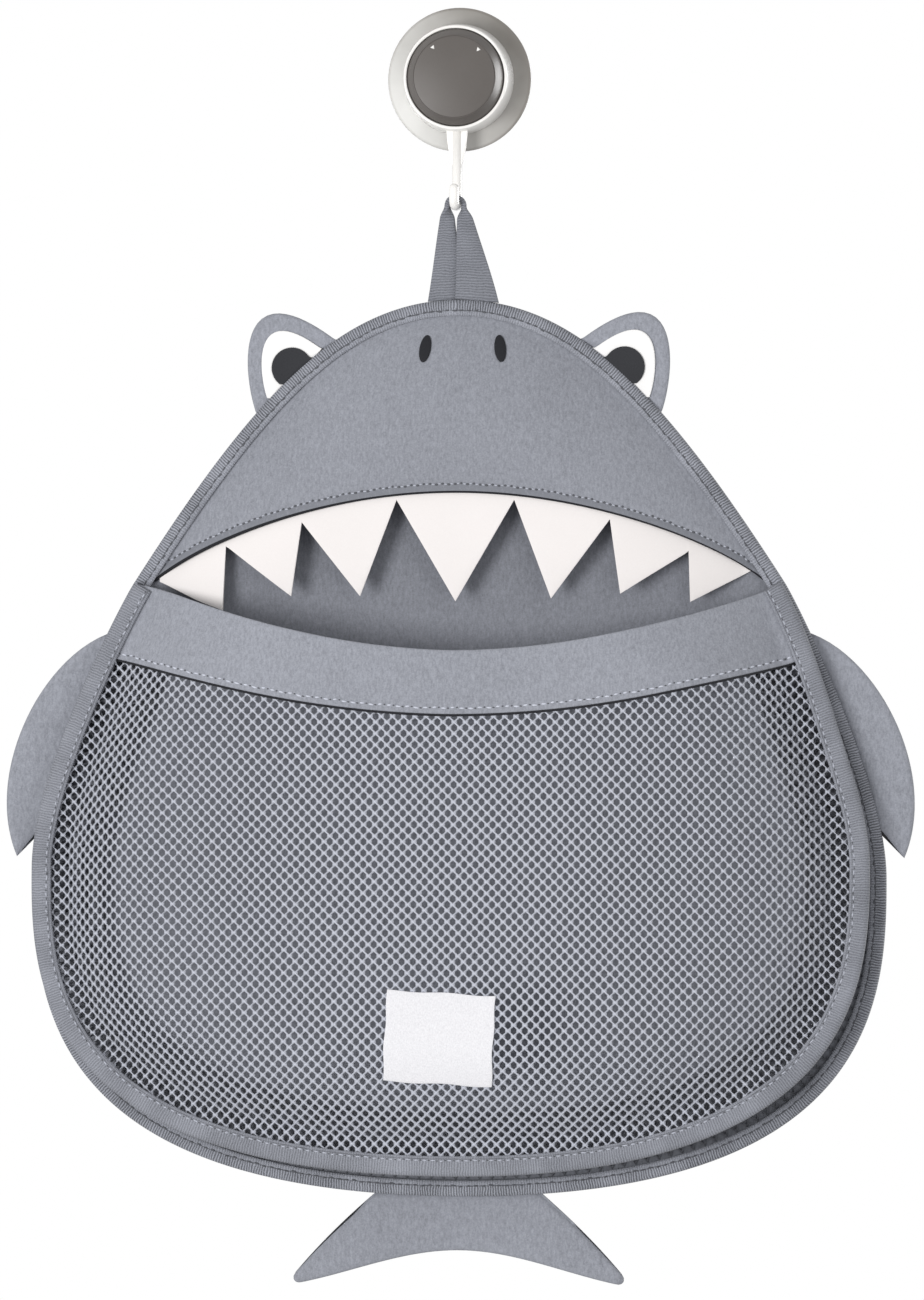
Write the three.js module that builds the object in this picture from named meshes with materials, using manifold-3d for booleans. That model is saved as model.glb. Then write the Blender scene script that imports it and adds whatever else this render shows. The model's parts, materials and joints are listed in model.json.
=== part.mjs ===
// Bath toy organizer: a soft animal-shaped bag with a net pocket, hung by a tape loop on a twist-lock suction hook.
// Millimetres, Z up. The wall is the plane y = 0 and the object stands in front of it, toward -Y.
// "Depth" below is always the distance off the wall, so a point at depth d has y = -d.
import * as THREE from 'three';
import { mergeGeometries, mergeVertices } from 'three/addons/utils/BufferGeometryUtils.js';
import Module from 'manifold-3d';

const wasm = await Module();
wasm.setup();

// Shared clearances
const GAP = 0.3; // between sewn, pressed or seated neighbours
const RUN = 0.4; // between pieces that move past each other

// Suction cup
const CUP_RADIUS = 31;
const CUP_LIP = 6; // flat sealing lip on the wall
const CUP_EDGE = 1.2; // thickness at the rim
const CUP_CONE = 5; // how far the cone rises from the rim to the core
const CORE_RADIUS = 9.5;
const CORE_SKIN = 1.8; // soft skin between the vacuum space and the stud's foot
const CORE_REST = 0.2; // vacuum space that stays when the core is let go
const CORE_LIP = 1.9; // soft lip that holds the foot in
const LOCK_TRAVEL = 3; // how far the dial pulls the core off the wall

// Stud and pin
const STEM_RADIUS = 3.5;
const STEM_FLAT = 2.7; // half distance between the two flats that keep the stud from turning
const FOOT_RADIUS = 7;
const FOOT_THICK = 2;
const PIN_RADIUS = 1;
const PIN_SEAT = 0.35; // clearance between pin and ramp
const PIN_HEAD = 2.4; // stem past the pin's axis

// Housing with hook
const HOUSING_RADIUS = 23.85; // at the skirt, on the cup
const RIM_RADIUS = 22.4; // at the front rim
const SKIRT_WALL = 3;
const WEB = 2; // plate that carries the dial
const HOOK_DROP = 55; // cup's axis to the bar that the loop hangs on
const BAR_RADIUS = 2.15;
const ARM_DEPTH = 11; // arm's axis off the wall
const THROAT = 8; // clear width of the hook
const HOOK_BEND = 3.2; // bend radius of the bar's axis
const TIP_RISE = 7; // tip's end above the bar's axis
const FLARE_WIDTH = 9.3; // arm's web at the ring
const FLARE_DROP = 17;
const FLARE_THICK = 3;
const FLARE_WAIST = 0.83; // web's width and place halfway down, as parts of its width and drop
const FLARE_BEND = 0.6;

// Dial
const DIAL_RADIUS = 20.7;
const FACE_RADIUS = 17.2;
const FACE_LIP = 0.6;
const DIAL_FLOOR = 2;
const DIAL_RISE = 5; // height of the bevel in front of the rim
const HOLLOW_RADIUS = 13;
const RAMP_RADIUS = 8;
const RAMP_FOOT = 0.7; // ramp's low end above the dial's floor
const CAP_THICK = 1.2;
const LOCK_TURN = 90; // degrees from locked to open
const DWELL = 20; // level stretch past each end of a ramp, degrees
const RAMP_STEP = 5;

// Bag outline, outside of the edge tape
const LOOP_DROP = 40; // hook's bar to the top of the bag
const BODY_WIDTH = 369;
const BODY_HEIGHT = 386;
const MOUTH_LEVEL = 0.3155; // mouth corners, as a part of the height below the top
const WIDEST_LEVEL = 0.644;
const MOUTH_WIDTH = 0.763; // as a part of the full width
const MOUTH_SLOPE = 57.3; // edge's angle below level at the mouth, degrees

// Fullness of the outline's curves, as parts of the half width or the height
const BROW_FULL = 0.275;
const CHEEK_FULL = 0.523;
const JAW_FULL = 0.052;
const FLANK_RISE = 0.108;
const FLANK_FALL = 0.128;
const BOTTOM_FULL = 0.993;

// Layers of the bag, off the wall
const WALL_ROOM = 2;
const TAPE_THICK = 1;
const TAPE_WIDTH = 7;
const BACK_THICK = 2.5;
const HEAD_THICK = 2;
const HEAD_PUFF = 13;
const HEAD_PUFF_REACH = 48;
const HEAD_MARGIN = 1.5; // flat strip along the tape
const TEETH_THICK = 1.2;
const PATCH_THICK = 0.6; // nostrils, eye inlays and label

// Upper lip and teeth
const LIP_RISE = 40.3; // lip's middle above the mouth corners
const LIP_CORNER_OUT = 0.87; // lip's curve at its corner and its middle, as parts of its half width and rise
const LIP_CORNER_UP = 0.41;
const LIP_MIDDLE_FLAT = 0.45;
const LIP_SEAM = 8; // strip hidden behind the lip
const TOOTH_ROOT = 3; // notches below the lip
const TOOTH_REACH = 46.2; // tips below the lip's middle
const TOOTH_LAST = 2.5; // outermost tips, lower still
const TOOTH_TIPS = [0, 41.2, 71, 101]; // half row, from the middle out
const TOOTH_NOTCHES = [25.4, 66.5, 100];
const TEETH_HALF = 122;

// Eyes and nostrils
const EYE_LOW = 48.4; // lower and upper end of the eye's seam below the bag's top
const EYE_HIGH = 17;
const EYE_THICK = 2.5;
const WHITE_SCALE = 0.68;
const PUPIL_RADIUS = 8.8;
const PUPIL_DROP = 29.2;
const PUPIL_OUT = 3; // pupil's middle outside the bag's edge
const EYE_PULL_TOP = [25.4, 45]; // handles of the flap's curve, from the pupil's middle
const EYE_PULL_LOW = [22.1, -1.4];
const NOSTRIL_SIDE = 16.2; // either side of the pair's middle
const NOSTRIL_SHIFT = 2.7; // pair's middle off the bag's
const NOSTRIL_DROP = 21.3;
const NOSTRIL_LENGTH = 12;
const NOSTRIL_WIDTH = 5;
const NOSTRIL_LEAN = 8;

// Pocket front
const POCKET_TUCK = 9; // front's bottom edge above the back's
const POCKET_TUCK_SIDE = 2.2;
const POCKET_GAPE = 20; // depth of the side wall at the bottom
const POCKET_ROOM = 0.6; // front tape off the back tape at the mouth corners
const POCKET_PUFF = 28;
const POCKET_PUFF_REACH = 42;
const POCKET_MARGIN = 6.5;
const POCKET_TAPE = 8.6;
const COLLAR_THICK = 2.5;
const COLLAR_HEIGHT = 32;
const MOUTH_SAG = 30.3; // collar's upper edge hangs this far below the mouth corners
const COLLAR_SAG = 25;
const NET_THICK = 1.2;
const NET_COLUMNS = 18; // diamond columns across the widest row
const NET_BAR = 3.2;
const NET_SELVAGE = 2;
const NET_BAR_SIDE = 0.95; // bars beside and above a gap, as parts of NET_BAR: the knit hangs taller than wide
const NET_BAR_ABOVE = 0.45;
const GUSSET_THICK = 1;
const GUSSET_FOLD = 10;
const GUSSET_SEAM = 6; // front seam's distance inside the front tape's edge
const LABEL_WIDTH = 46.5;
const LABEL_HEIGHT = 38.7;
const LABEL_TURN = 3;
const LABEL_SIDE = -3;
const LABEL_LIFT = 58; // label's middle above the pocket's bottom

// Fins and tail
const FIN_THICK = 2.8;
const FIN_TOP = 143.7; // seam's ends below the bag's top
const FIN_BOTTOM = 229.5;
const FIN_TIP_OUT = 9.3;
const FIN_TIP_DROP = 10.5;
const FIN_PULL_TOP = [30.2, -11.5]; // handles of the fin's outer curve, from its upper end and its tip
const FIN_PULL_TIP = [14.9, 35];
const TAIL_ROOT = 35.5; // half widths
const TAIL_HALF = 75.2;
const TAIL_DROP = 38.7;
const TAIL_NOTCH = 23.2;
const TAIL_FLARE = 0.6; // bend of the tail's side, as a part of the way out
const TAIL_LOBE = 0.66; // handles of the lower edge, as parts of the half width
const TAIL_HOLLOW = 0.35;
const TAIL_LIFT = 0.25; // and of the notch's height

// Loop
const LOOP_TAPE = 15.4;
const LOOP_CLEAR = 0.7; // above the bag's edge, which tips up when the bag leans out
const LOOP_THICK = 1.6;
const LOOP_BUNCH = 5; // width of the bunched tape in the hook's throat
const LOOP_BUNCH_THICK = 3.2;
const LOOP_TURN = 0.1; // share of a leg's height where it starts to turn edge-on

// Curve resolution
const ROUND = 48;
const SIDE_STEPS = 34;
const LOOP_STEPS = 9;
const PUPIL_STEPS = 24;
const COLUMNS = 32; // of a puffed sheet
const ROWS = 6;

// Levels and depths that follow from the sizes above
const bodyTop = -(HOOK_DROP + LOOP_DROP);
const bodyBottom = bodyTop - BODY_HEIGHT;
const mouthZ = bodyTop - MOUTH_LEVEL * BODY_HEIGHT;
const halfWidth = BODY_WIDTH / 2;
const mouthX = MOUTH_WIDTH * halfWidth;
const backDepth = WALL_ROOM + TAPE_THICK + GAP;
const headDepth = backDepth + BACK_THICK + GAP;
const edgeDepth = headDepth + HEAD_THICK + GAP + TAPE_THICK - WALL_ROOM;
const edgeFront = WALL_ROOM + edgeDepth;
const edgeMiddle = WALL_ROOM + edgeDepth / 2;
const panelInset = TAPE_THICK + GAP;

// Small geometry tools
function outward(geometry) {
  // Turns the faces over when the closed surface is inside out.
  const solid = mergeVertices(onlyPosition(geometry), 1e-4);
  const p = solid.getAttribute('position');
  const index = solid.getIndex();
  const a = new THREE.Vector3();
  const b = new THREE.Vector3();
  const c = new THREE.Vector3();
  let volume = 0;
  for (let i = 0; i < index.count; i += 3) {
    a.fromBufferAttribute(p, index.getX(i));
    b.fromBufferAttribute(p, index.getX(i + 1));
    c.fromBufferAttribute(p, index.getX(i + 2));
    volume += a.dot(b.cross(c));
  }
  if (volume < 0) {
    for (let i = 0; i < index.count; i += 3) {
      const second = index.getX(i + 1);
      index.setX(i + 1, index.getX(i + 2));
      index.setX(i + 2, second);
    }
  }
  return solid;
}

function onlyPosition(geometry) {
  const bare = new THREE.BufferGeometry();
  bare.setAttribute('position', geometry.getAttribute('position'));
  if (geometry.getIndex()) bare.setIndex(geometry.getIndex());
  return bare;
}

function toSolid(geometry) {
  const closed = outward(geometry);
  const mesh = new wasm.Mesh({
    numProp: 3,
    vertProperties: new Float32Array(closed.getAttribute('position').array),
    triVerts: new Uint32Array(closed.getIndex().array),
  });
  return new wasm.Manifold(mesh);
}

function fromSolid(solid) {
  const mesh = solid.getMesh();
  const geometry = new THREE.BufferGeometry();
  geometry.setAttribute('position', new THREE.BufferAttribute(new Float32Array(mesh.vertProperties), 3));
  geometry.setIndex(new THREE.BufferAttribute(new Uint32Array(mesh.triVerts), 1));
  return geometry;
}

function joined(...geometries) {
  return fromSolid(geometries.map(toSolid).reduce((sum, next) => sum.add(next)));
}

function cut(geometry, ...tools) {
  return fromSolid(tools.map(toSolid).reduce((rest, tool) => rest.subtract(tool), toSolid(geometry)));
}

// A plate whose outline lies in X and Z, from one depth to the next
function plate(shape, depth, thickness, curveSegments = 8) {
  const geometry = new THREE.ExtrudeGeometry(shape, { depth: thickness, bevelEnabled: false, curveSegments });
  geometry.rotateX(Math.PI / 2);
  geometry.translate(0, -depth, 0);
  return geometry;
}

// A turned piece about the cup's axis, from a profile of radius and depth
function turned(profile, segments = ROUND) {
  const points = profile.map(([radius, depth]) => new THREE.Vector2(radius, -depth));
  return new THREE.LatheGeometry(points, segments);
}

// A turned piece with a hole: the profile closes on itself
function ring(profile, segments = ROUND) {
  return turned([...profile, profile[0]], segments);
}

// A soft sheet from a flat triangulation in X and Z: two faces, raised by a height that depends on the place, and a rim
function sheet(flatGeometry, depth, thickness, height) {
  const net = mergeVertices(onlyPosition(flatGeometry), 1e-4);
  const p = net.getAttribute('position');
  const index = Array.from(net.getIndex().array);
  const count = p.count;
  const positions = [];
  for (const layer of [depth + thickness, depth]) {
    for (let i = 0; i < count; i += 1) {
      positions.push(p.getX(i), -(layer + height(p.getX(i), p.getY(i))), p.getY(i));
    }
  }
  const faces = [...index];
  const edges = new Set();
  for (let i = 0; i < index.length; i += 3) {
    const [a, b, c] = index.slice(i, i + 3);
    faces.push(count + a, count + c, count + b);
    edges.add(`${a} ${b}`).add(`${b} ${c}`).add(`${c} ${a}`);
  }
  for (const edge of edges) {
    const [a, b] = edge.split(' ').map(Number);
    if (!edges.has(`${b} ${a}`)) faces.push(b, a, count + a, b, count + a, count + b);
  }
  const geometry = new THREE.BufferGeometry();
  geometry.setAttribute('position', new THREE.Float32BufferAttribute(positions, 3));
  geometry.setIndex(faces);
  return geometry;
}

// Flat grid of upright columns, closer together toward both ends. Each column gives its heights from below.
function columns(half, heightsAt) {
  const positions = [];
  const faces = [];
  let rows = 0;
  for (let i = 0; i <= COLUMNS; i += 1) {
    const x = half * Math.sin((Math.PI * (i / COLUMNS - 0.5)));
    const heights = heightsAt(x);
    rows = heights.length;
    for (const z of heights) positions.push(x, z, 0);
    for (let j = 0; i > 0 && j + 1 < rows; j += 1) {
      const b = i * rows + j;
      const a = b - rows;
      if (x > 0) faces.push(a, b, a + 1, b, b + 1, a + 1);
      else faces.push(a, b, b + 1, a, b + 1, a + 1);
    }
  }
  const geometry = new THREE.BufferGeometry();
  geometry.setAttribute('position', new THREE.Float32BufferAttribute(positions, 3));
  geometry.setIndex(faces);
  return geometry;
}

// Even heights from low to high, with a last strip that lies under the tape
function heightsBetween(low, high, strip, rows) {
  const last = Math.max(high - strip, mix(low, high, 0.6));
  const heights = Array.from({ length: rows + 1 }, (_, i) => mix(low, last, i / rows));
  return [...heights, high];
}

// Height of a path that runs one way in X
function heightOn(points, x) {
  const rising = points.at(-1).x > points[0].x;
  const found = points.findIndex((p) => (rising ? p.x >= x : p.x <= x));
  const i = found < 0 ? points.length - 1 : Math.max(found, 1);
  const a = points[i - 1];
  const b = points[i];
  return mix(a.y, b.y, (x - a.x) / (b.x - a.x));
}

// Sweeps a closed section through stations. A loop joins its ends, an open sweep gets end caps.
function swept(stations, section, loop) {
  const around = section.length;
  const positions = stations.flat().flatMap((v) => [v.x, v.y, v.z]);
  const faces = [];
  const last = loop ? stations.length : stations.length - 1;
  for (let i = 0; i < last; i += 1) {
    const here = i * around;
    const next = ((i + 1) % stations.length) * around;
    for (let j = 0; j < around; j += 1) {
      const k = (j + 1) % around;
      faces.push(here + j, next + j, next + k, here + j, next + k, here + k);
    }
  }
  if (!loop) {
    const end = (stations.length - 1) * around;
    const turnedOver = THREE.ShapeUtils.isClockWise(section);
    for (const [a, b, c] of THREE.ShapeUtils.triangulateShape(section, [])) {
      if (turnedOver) faces.push(a, c, b, end + a, end + b, end + c);
      else faces.push(a, b, c, end + a, end + c, end + b);
    }
  }
  const geometry = new THREE.BufferGeometry();
  geometry.setAttribute('position', new THREE.Float32BufferAttribute(positions, 3));
  geometry.setIndex(faces);
  return geometry;
}

const flat = (x, z) => new THREE.Vector2(x, z);
const mirrored = (points) => points.map((p) => flat(-p.x, p.y)).reverse();
const degrees = THREE.MathUtils.degToRad;
const mix = THREE.MathUtils.lerp;

// Moves each point of a path toward the inside, which lies right of the way the path runs
function inset(points, distance, loop) {
  const count = points.length;
  return points.map((p, i) => {
    const before = loop ? points[(i - 1 + count) % count] : points[Math.max(i - 1, 0)];
    const after = loop ? points[(i + 1) % count] : points[Math.min(i + 1, count - 1)];
    const along = after.clone().sub(before).normalize();
    return flat(p.x + along.y * distance, p.y - along.x * distance);
  });
}

function distanceTo(points, x, z) {
  let best = Infinity;
  for (let i = 0; i + 1 < points.length; i += 1) {
    const a = points[i];
    const dx = points[i + 1].x - a.x;
    const dz = points[i + 1].y - a.y;
    const t = THREE.MathUtils.clamp(((x - a.x) * dx + (z - a.y) * dz) / (dx * dx + dz * dz), 0, 1);
    best = Math.min(best, Math.hypot(x - a.x - t * dx, z - a.y - t * dz));
  }
  return best;
}

function within(points, x, z) {
  return points.reduce((inside, a, i) => {
    const b = points[(i + 1) % points.length];
    if (a.y > z === b.y > z) return inside;
    return x < mix(a.x, b.x, (z - a.y) / (b.y - a.y)) ? !inside : inside;
  }, false);
}

// Rounded rise from a sewn edge to the full height
function rise(distance, reach, height) {
  const part = THREE.MathUtils.clamp(distance / reach, 0, 1);
  return height * (1 - (1 - part) ** 2);
}

// Body outline: right half from the top to the mouth corner, and on round the bottom
const slope = degrees(MOUTH_SLOPE);
const mouthWay = flat(Math.cos(slope), -Math.sin(slope));
const mouthPoint = flat(mouthX, mouthZ);
const widestZ = bodyTop - WIDEST_LEVEL * BODY_HEIGHT;
const headCurve = new THREE.CubicBezierCurve(
  flat(0, bodyTop),
  flat(BROW_FULL * halfWidth, bodyTop),
  mouthPoint.clone().addScaledVector(mouthWay, -CHEEK_FULL * halfWidth),
  mouthPoint,
);
const lowerCurve = new THREE.CurvePath();
lowerCurve.add(new THREE.CubicBezierCurve(
  mouthPoint,
  mouthPoint.clone().addScaledVector(mouthWay, JAW_FULL * halfWidth),
  flat(halfWidth, widestZ + FLANK_RISE * BODY_HEIGHT),
  flat(halfWidth, widestZ),
));
lowerCurve.add(new THREE.CubicBezierCurve(
  flat(halfWidth, widestZ),
  flat(halfWidth, widestZ - FLANK_FALL * BODY_HEIGHT),
  flat(BOTTOM_FULL * halfWidth, bodyBottom),
  flat(0, bodyBottom),
));
const headSide = headCurve.getSpacedPoints(SIDE_STEPS / 2);
const lowerSide = lowerCurve.getSpacedPoints(SIDE_STEPS);
const rightSide = [...headSide, ...lowerSide.slice(1)];
const bodyLoop = [...rightSide, ...mirrored(rightSide).slice(1, -1)];

// Right edge of the bag just outside its tape, as a function of height, and the bottom edge as one of X
const outerSide = inset(bodyLoop, -GAP, true).slice(0, rightSide.length);

function edgeX(z) {
  const i = outerSide.findIndex((p) => p.y <= z);
  const a = outerSide[i - 1];
  const b = outerSide[i];
  return mix(a.x, b.x, (z - a.y) / (b.y - a.y));
}

function edgePoints(fromZ, toZ, steps) {
  return Array.from({ length: steps + 1 }, (_, i) => {
    const z = mix(fromZ, toZ, i / steps);
    return flat(edgeX(z), z);
  });
}

function bottomZ(x) {
  const i = Math.min(outerSide.findLastIndex((p) => p.x >= x), outerSide.length - 2);
  const a = outerSide[i];
  const b = outerSide[i + 1];
  return mix(a.y, b.y, (x - a.x) / (b.x - a.x));
}

// Folded tape: a channel around the sheets that it binds
function tapeSection(width, depth) {
  const soft = TAPE_THICK / 2;
  return [
    flat(0, soft),
    flat(0, depth - soft),
    flat(soft, depth),
    flat(width, depth),
    flat(width, depth - TAPE_THICK),
    flat(TAPE_THICK, depth - TAPE_THICK),
    flat(TAPE_THICK, TAPE_THICK),
    flat(width, TAPE_THICK),
    flat(width, 0),
    flat(soft, 0),
  ];
}

function tape(path, section, depth, loop) {
  const levels = section.map((s) => inset(path, s.x, loop));
  const stations = path.map((_, i) => section.map((s, j) => {
    return new THREE.Vector3(levels[j][i].x, -(depth + s.y), levels[j][i].y);
  }));
  return swept(stations, section, loop);
}

const organizer = new THREE.Group();
organizer.name = 'bath_toy_organizer';

function addPiece(parent, name, geometry, colour, roughness) {
  const material = new THREE.MeshStandardMaterial({ color: colour, roughness, metalness: 0 });
  material.name = name;
  const mesh = new THREE.Mesh(outward(geometry), material);
  mesh.name = name;
  parent.add(mesh);
}

const CLEAR = 0xc9c9c5;
const WHITE = 0xf1efec;
const DARK = 0x69635f;
const STEEL = 0xb8b8b8;
const GREY = 0x8f9196;
const TAPE_GREY = 0x74767b;
const PALE = 0xa7a9ad;
const BLACK = 0x17171a;
const NET_GREY = 0xa9acb3;

// Suction hook: depths from the wall to the dial's face
const hook = new THREE.Group();
hook.name = 'suction_hook';
organizer.add(hook);
const vacuum = LOCK_TRAVEL + CORE_REST;
const socketBack = vacuum + CORE_SKIN;
const footBack = socketBack + GAP;
const footFront = footBack + FOOT_THICK;
const socketFront = footFront + GAP;
const coreFront = socketFront + CORE_LIP;
const webBack = coreFront + RUN;
const webFront = webBack + WEB;
const dialBack = webFront + RUN;
const floorFront = dialBack + DIAL_FLOOR;
const rampLow = floorFront + RAMP_FOOT;
const rampHigh = rampLow + LOCK_TRAVEL;
const pinDepth = rampHigh + PIN_SEAT + PIN_RADIUS;
const stemEnd = pinDepth + PIN_HEAD;
const ledge = stemEnd + GAP;
const capBack = ledge + GAP;
const faceFront = capBack + CAP_THICK;
const rimFront = faceFront - DIAL_RISE;
const stemHole = STEM_RADIUS + RUN;

const coneRun = CUP_RADIUS - CORE_RADIUS;
const cupFront = (radius) => CUP_EDGE + (CUP_CONE * (CUP_RADIUS - radius)) / coneRun;
addPiece(hook, 'suction_cup', turned([
  [0, vacuum],
  [FOOT_RADIUS + GAP, vacuum],
  [CUP_RADIUS - CUP_LIP, 0],
  [CUP_RADIUS, 0],
  [CUP_RADIUS, CUP_EDGE],
  [CORE_RADIUS, cupFront(CORE_RADIUS)],
  [CORE_RADIUS, coreFront],
  [STEM_RADIUS + GAP, coreFront],
  [STEM_RADIUS + GAP, socketFront],
  [FOOT_RADIUS + GAP, socketFront],
  [FOOT_RADIUS + GAP, socketBack],
  [0, socketBack],
]), CLEAR, 0.25);

// Round bar with two flats, for the stem and for the hole that guides it
function keyedBar(radius, half, depth, length) {
  const shape = new THREE.Shape();
  const corner = Math.asin(half / radius);
  shape.absarc(0, 0, radius, -corner, corner, false);
  shape.absarc(0, 0, radius, Math.PI - corner, Math.PI + corner, false);
  return plate(shape, depth, length, 12);
}

// Cylinder across the stem
function crossBar(radius, length) {
  const bar = new THREE.CylinderGeometry(radius, radius, length, 20);
  bar.rotateZ(Math.PI / 2);
  bar.translate(0, -pinDepth, 0);
  return bar;
}

const pinLength = 2 * (RAMP_RADIUS - RUN);
const foot = turned([[0, footBack], [FOOT_RADIUS, footBack], [FOOT_RADIUS, footFront], [0, footFront]]);
const stem = keyedBar(STEM_RADIUS, STEM_FLAT, footFront - FOOT_THICK / 2, stemEnd - footFront + FOOT_THICK / 2);
const stemBore = crossBar(PIN_RADIUS + GAP, 4 * STEM_RADIUS);
addPiece(hook, 'cup_stud', cut(joined(foot, stem), stemBore), WHITE, 0.5);
addPiece(hook, 'cross_pin', crossBar(PIN_RADIUS, pinLength), STEEL, 0.3);

// Housing: turned ring, guide hole for the keyed stem, ribbed arm and J hook
const skirtIn = HOUSING_RADIUS - SKIRT_WALL;
const skirtBack = cupFront(skirtIn) + GAP;
const dialBore = DIAL_RADIUS + RUN;
const housingRing = turned([
  [0, webBack],
  [skirtIn, webBack],
  [skirtIn, skirtBack],
  [HOUSING_RADIUS, skirtBack],
  [RIM_RADIUS, rimFront],
  [dialBore, rimFront],
  [dialBore, webFront],
  [0, webFront],
]);
const guideHole = keyedBar(stemHole, STEM_FLAT + RUN, webBack - WEB, 3 * WEB);
const barZ = -HOOK_DROP;
const tipDepth = ARM_DEPTH + THROAT + 2 * BAR_RADIUS;
const throatDepth = (ARM_DEPTH + tipDepth) / 2;
const at = (depth, z) => new THREE.Vector3(0, -depth, z);
const hookLine = new THREE.CurvePath();
hookLine.add(new THREE.LineCurve3(at(ARM_DEPTH, -(dialBore + BAR_RADIUS / 2)), at(ARM_DEPTH, barZ + HOOK_BEND)));
hookLine.add(new THREE.QuadraticBezierCurve3(
  at(ARM_DEPTH, barZ + HOOK_BEND),
  at(ARM_DEPTH, barZ),
  at(ARM_DEPTH + HOOK_BEND, barZ),
));
hookLine.add(new THREE.LineCurve3(at(ARM_DEPTH + HOOK_BEND, barZ), at(tipDepth - HOOK_BEND, barZ)));
hookLine.add(new THREE.QuadraticBezierCurve3(
  at(tipDepth - HOOK_BEND, barZ),
  at(tipDepth, barZ),
  at(tipDepth, barZ + HOOK_BEND),
));
hookLine.add(new THREE.LineCurve3(at(tipDepth, barZ + HOOK_BEND), at(tipDepth, barZ + TIP_RISE)));
const barShape = new THREE.Shape().absarc(0, 0, BAR_RADIUS, 0, 2 * Math.PI, false);
const bar = new THREE.ExtrudeGeometry(barShape, {
  steps: 40,
  curveSegments: 6,
  bevelEnabled: false,
  extrudePath: hookLine,
});
const tip = new THREE.SphereGeometry(BAR_RADIUS, 12, 8);
tip.translate(0, -tipDepth, barZ + TIP_RISE);
const flareTop = -(dialBore + BAR_RADIUS / 2);
const flareWaist = (FLARE_WAIST * FLARE_WIDTH) / 2;
const flareShape = new THREE.Shape();
flareShape.moveTo(-FLARE_WIDTH / 2, flareTop);
flareShape.quadraticCurveTo(-flareWaist, flareTop - FLARE_DROP * FLARE_BEND, -BAR_RADIUS / 2, flareTop - FLARE_DROP);
flareShape.lineTo(BAR_RADIUS / 2, flareTop - FLARE_DROP);
flareShape.quadraticCurveTo(flareWaist, flareTop - FLARE_DROP * FLARE_BEND, FLARE_WIDTH / 2, flareTop);
const flare = plate(flareShape, ARM_DEPTH - FLARE_THICK / 2, FLARE_THICK, 6);
addPiece(hook, 'hook_housing', joined(cut(housingRing, guideHole), bar, tip, flare), WHITE, 0.35);

// Dial: bevelled ring with a floor and two cam ramps that lift the pin as it turns
const dialShell = ring([
  [stemHole, dialBack],
  [DIAL_RADIUS, dialBack],
  [DIAL_RADIUS, rimFront],
  [FACE_RADIUS + FACE_LIP, faceFront],
  [FACE_RADIUS + GAP, faceFront],
  [FACE_RADIUS + GAP, ledge],
  [HOLLOW_RADIUS, ledge],
  [HOLLOW_RADIUS, floorFront],
  [stemHole, floorFront],
]);

function rampTop(angle) {
  // Two equal halves. The pin stands at 0 when locked and at -LOCK_TURN when open.
  const half = THREE.MathUtils.euclideanModulo(angle + LOCK_TURN + DWELL, 180) - LOCK_TURN - DWELL;
  if (half > DWELL) return pinDepth + PIN_RADIUS;
  return mix(rampLow, rampHigh, THREE.MathUtils.clamp(1 + half / LOCK_TURN, 0, 1));
}

const rampSection = [flat(stemHole, 0), flat(RAMP_RADIUS, 0), flat(RAMP_RADIUS, 1), flat(stemHole, 1)];
const rampStations = Array.from({ length: 360 / RAMP_STEP }, (_, i) => {
  const angle = degrees(i * RAMP_STEP);
  const top = rampTop(i * RAMP_STEP);
  return rampSection.map((s) => new THREE.Vector3(
    s.x * Math.cos(angle),
    -mix(dialBack + DIAL_FLOOR / 2, top, s.y),
    s.x * Math.sin(angle),
  ));
});
addPiece(hook, 'twist_dial', joined(dialShell, swept(rampStations, rampSection, true)), DARK, 0.3);
addPiece(hook, 'dial_cap', turned([
  [0, capBack],
  [FACE_RADIUS, capBack],
  [FACE_RADIUS, faceFront],
  [0, faceFront],
]), DARK, 0.3);

// Loop: tape sewn flat at the bag, turning edge-on as it runs up and over the hook
const loopBase = bodyTop + LOOP_CLEAR;
const loopArch = BAR_RADIUS + RUN + LOOP_BUNCH_THICK / 2;
const loopSection = [flat(-0.5, -0.5), flat(0.5, -0.5), flat(0.5, 0.5), flat(-0.5, 0.5)];

function loopStation(centre, across, through, width, thickness) {
  return loopSection.map((s) => centre.clone()
    .addScaledVector(across, s.x * width)
    .addScaledVector(through, s.y * thickness));
}

function loopLeg(side, t) {
  const ease = THREE.MathUtils.smoothstep(t, 0, 1);
  const turn = (THREE.MathUtils.smoothstep(t, LOOP_TURN, 1) * Math.PI) / 2;
  const centre = new THREE.Vector3(
    side * mix(LOOP_TAPE / 2 + GAP, loopArch, t),
    -mix(edgeMiddle, throatDepth, ease),
    mix(loopBase, barZ, t),
  );
  const across = new THREE.Vector3(side * Math.cos(turn), -Math.sin(turn), 0);
  const through = new THREE.Vector3(side * Math.sin(turn), Math.cos(turn), 0);
  return loopStation(centre, across, through, mix(LOOP_TAPE, LOOP_BUNCH, t), mix(LOOP_THICK, LOOP_BUNCH_THICK, t));
}

const loopStations = [];
for (let i = 0; i <= LOOP_STEPS; i += 1) loopStations.push(loopLeg(1, i / LOOP_STEPS));
for (let i = 1; i < LOOP_STEPS; i += 1) {
  const angle = (Math.PI * i) / LOOP_STEPS;
  const radial = new THREE.Vector3(Math.cos(angle), 0, Math.sin(angle));
  const centre = new THREE.Vector3(0, -throatDepth, barZ).addScaledVector(radial, loopArch);
  loopStations.push(loopStation(centre, new THREE.Vector3(0, -1, 0), radial, LOOP_BUNCH, LOOP_BUNCH_THICK));
}
for (let i = LOOP_STEPS; i >= 0; i -= 1) loopStations.push(loopLeg(-1, i / LOOP_STEPS));
addPiece(organizer, 'hanging_loop', swept(loopStations, loopSection, false), TAPE_GREY, 0.9);

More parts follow.
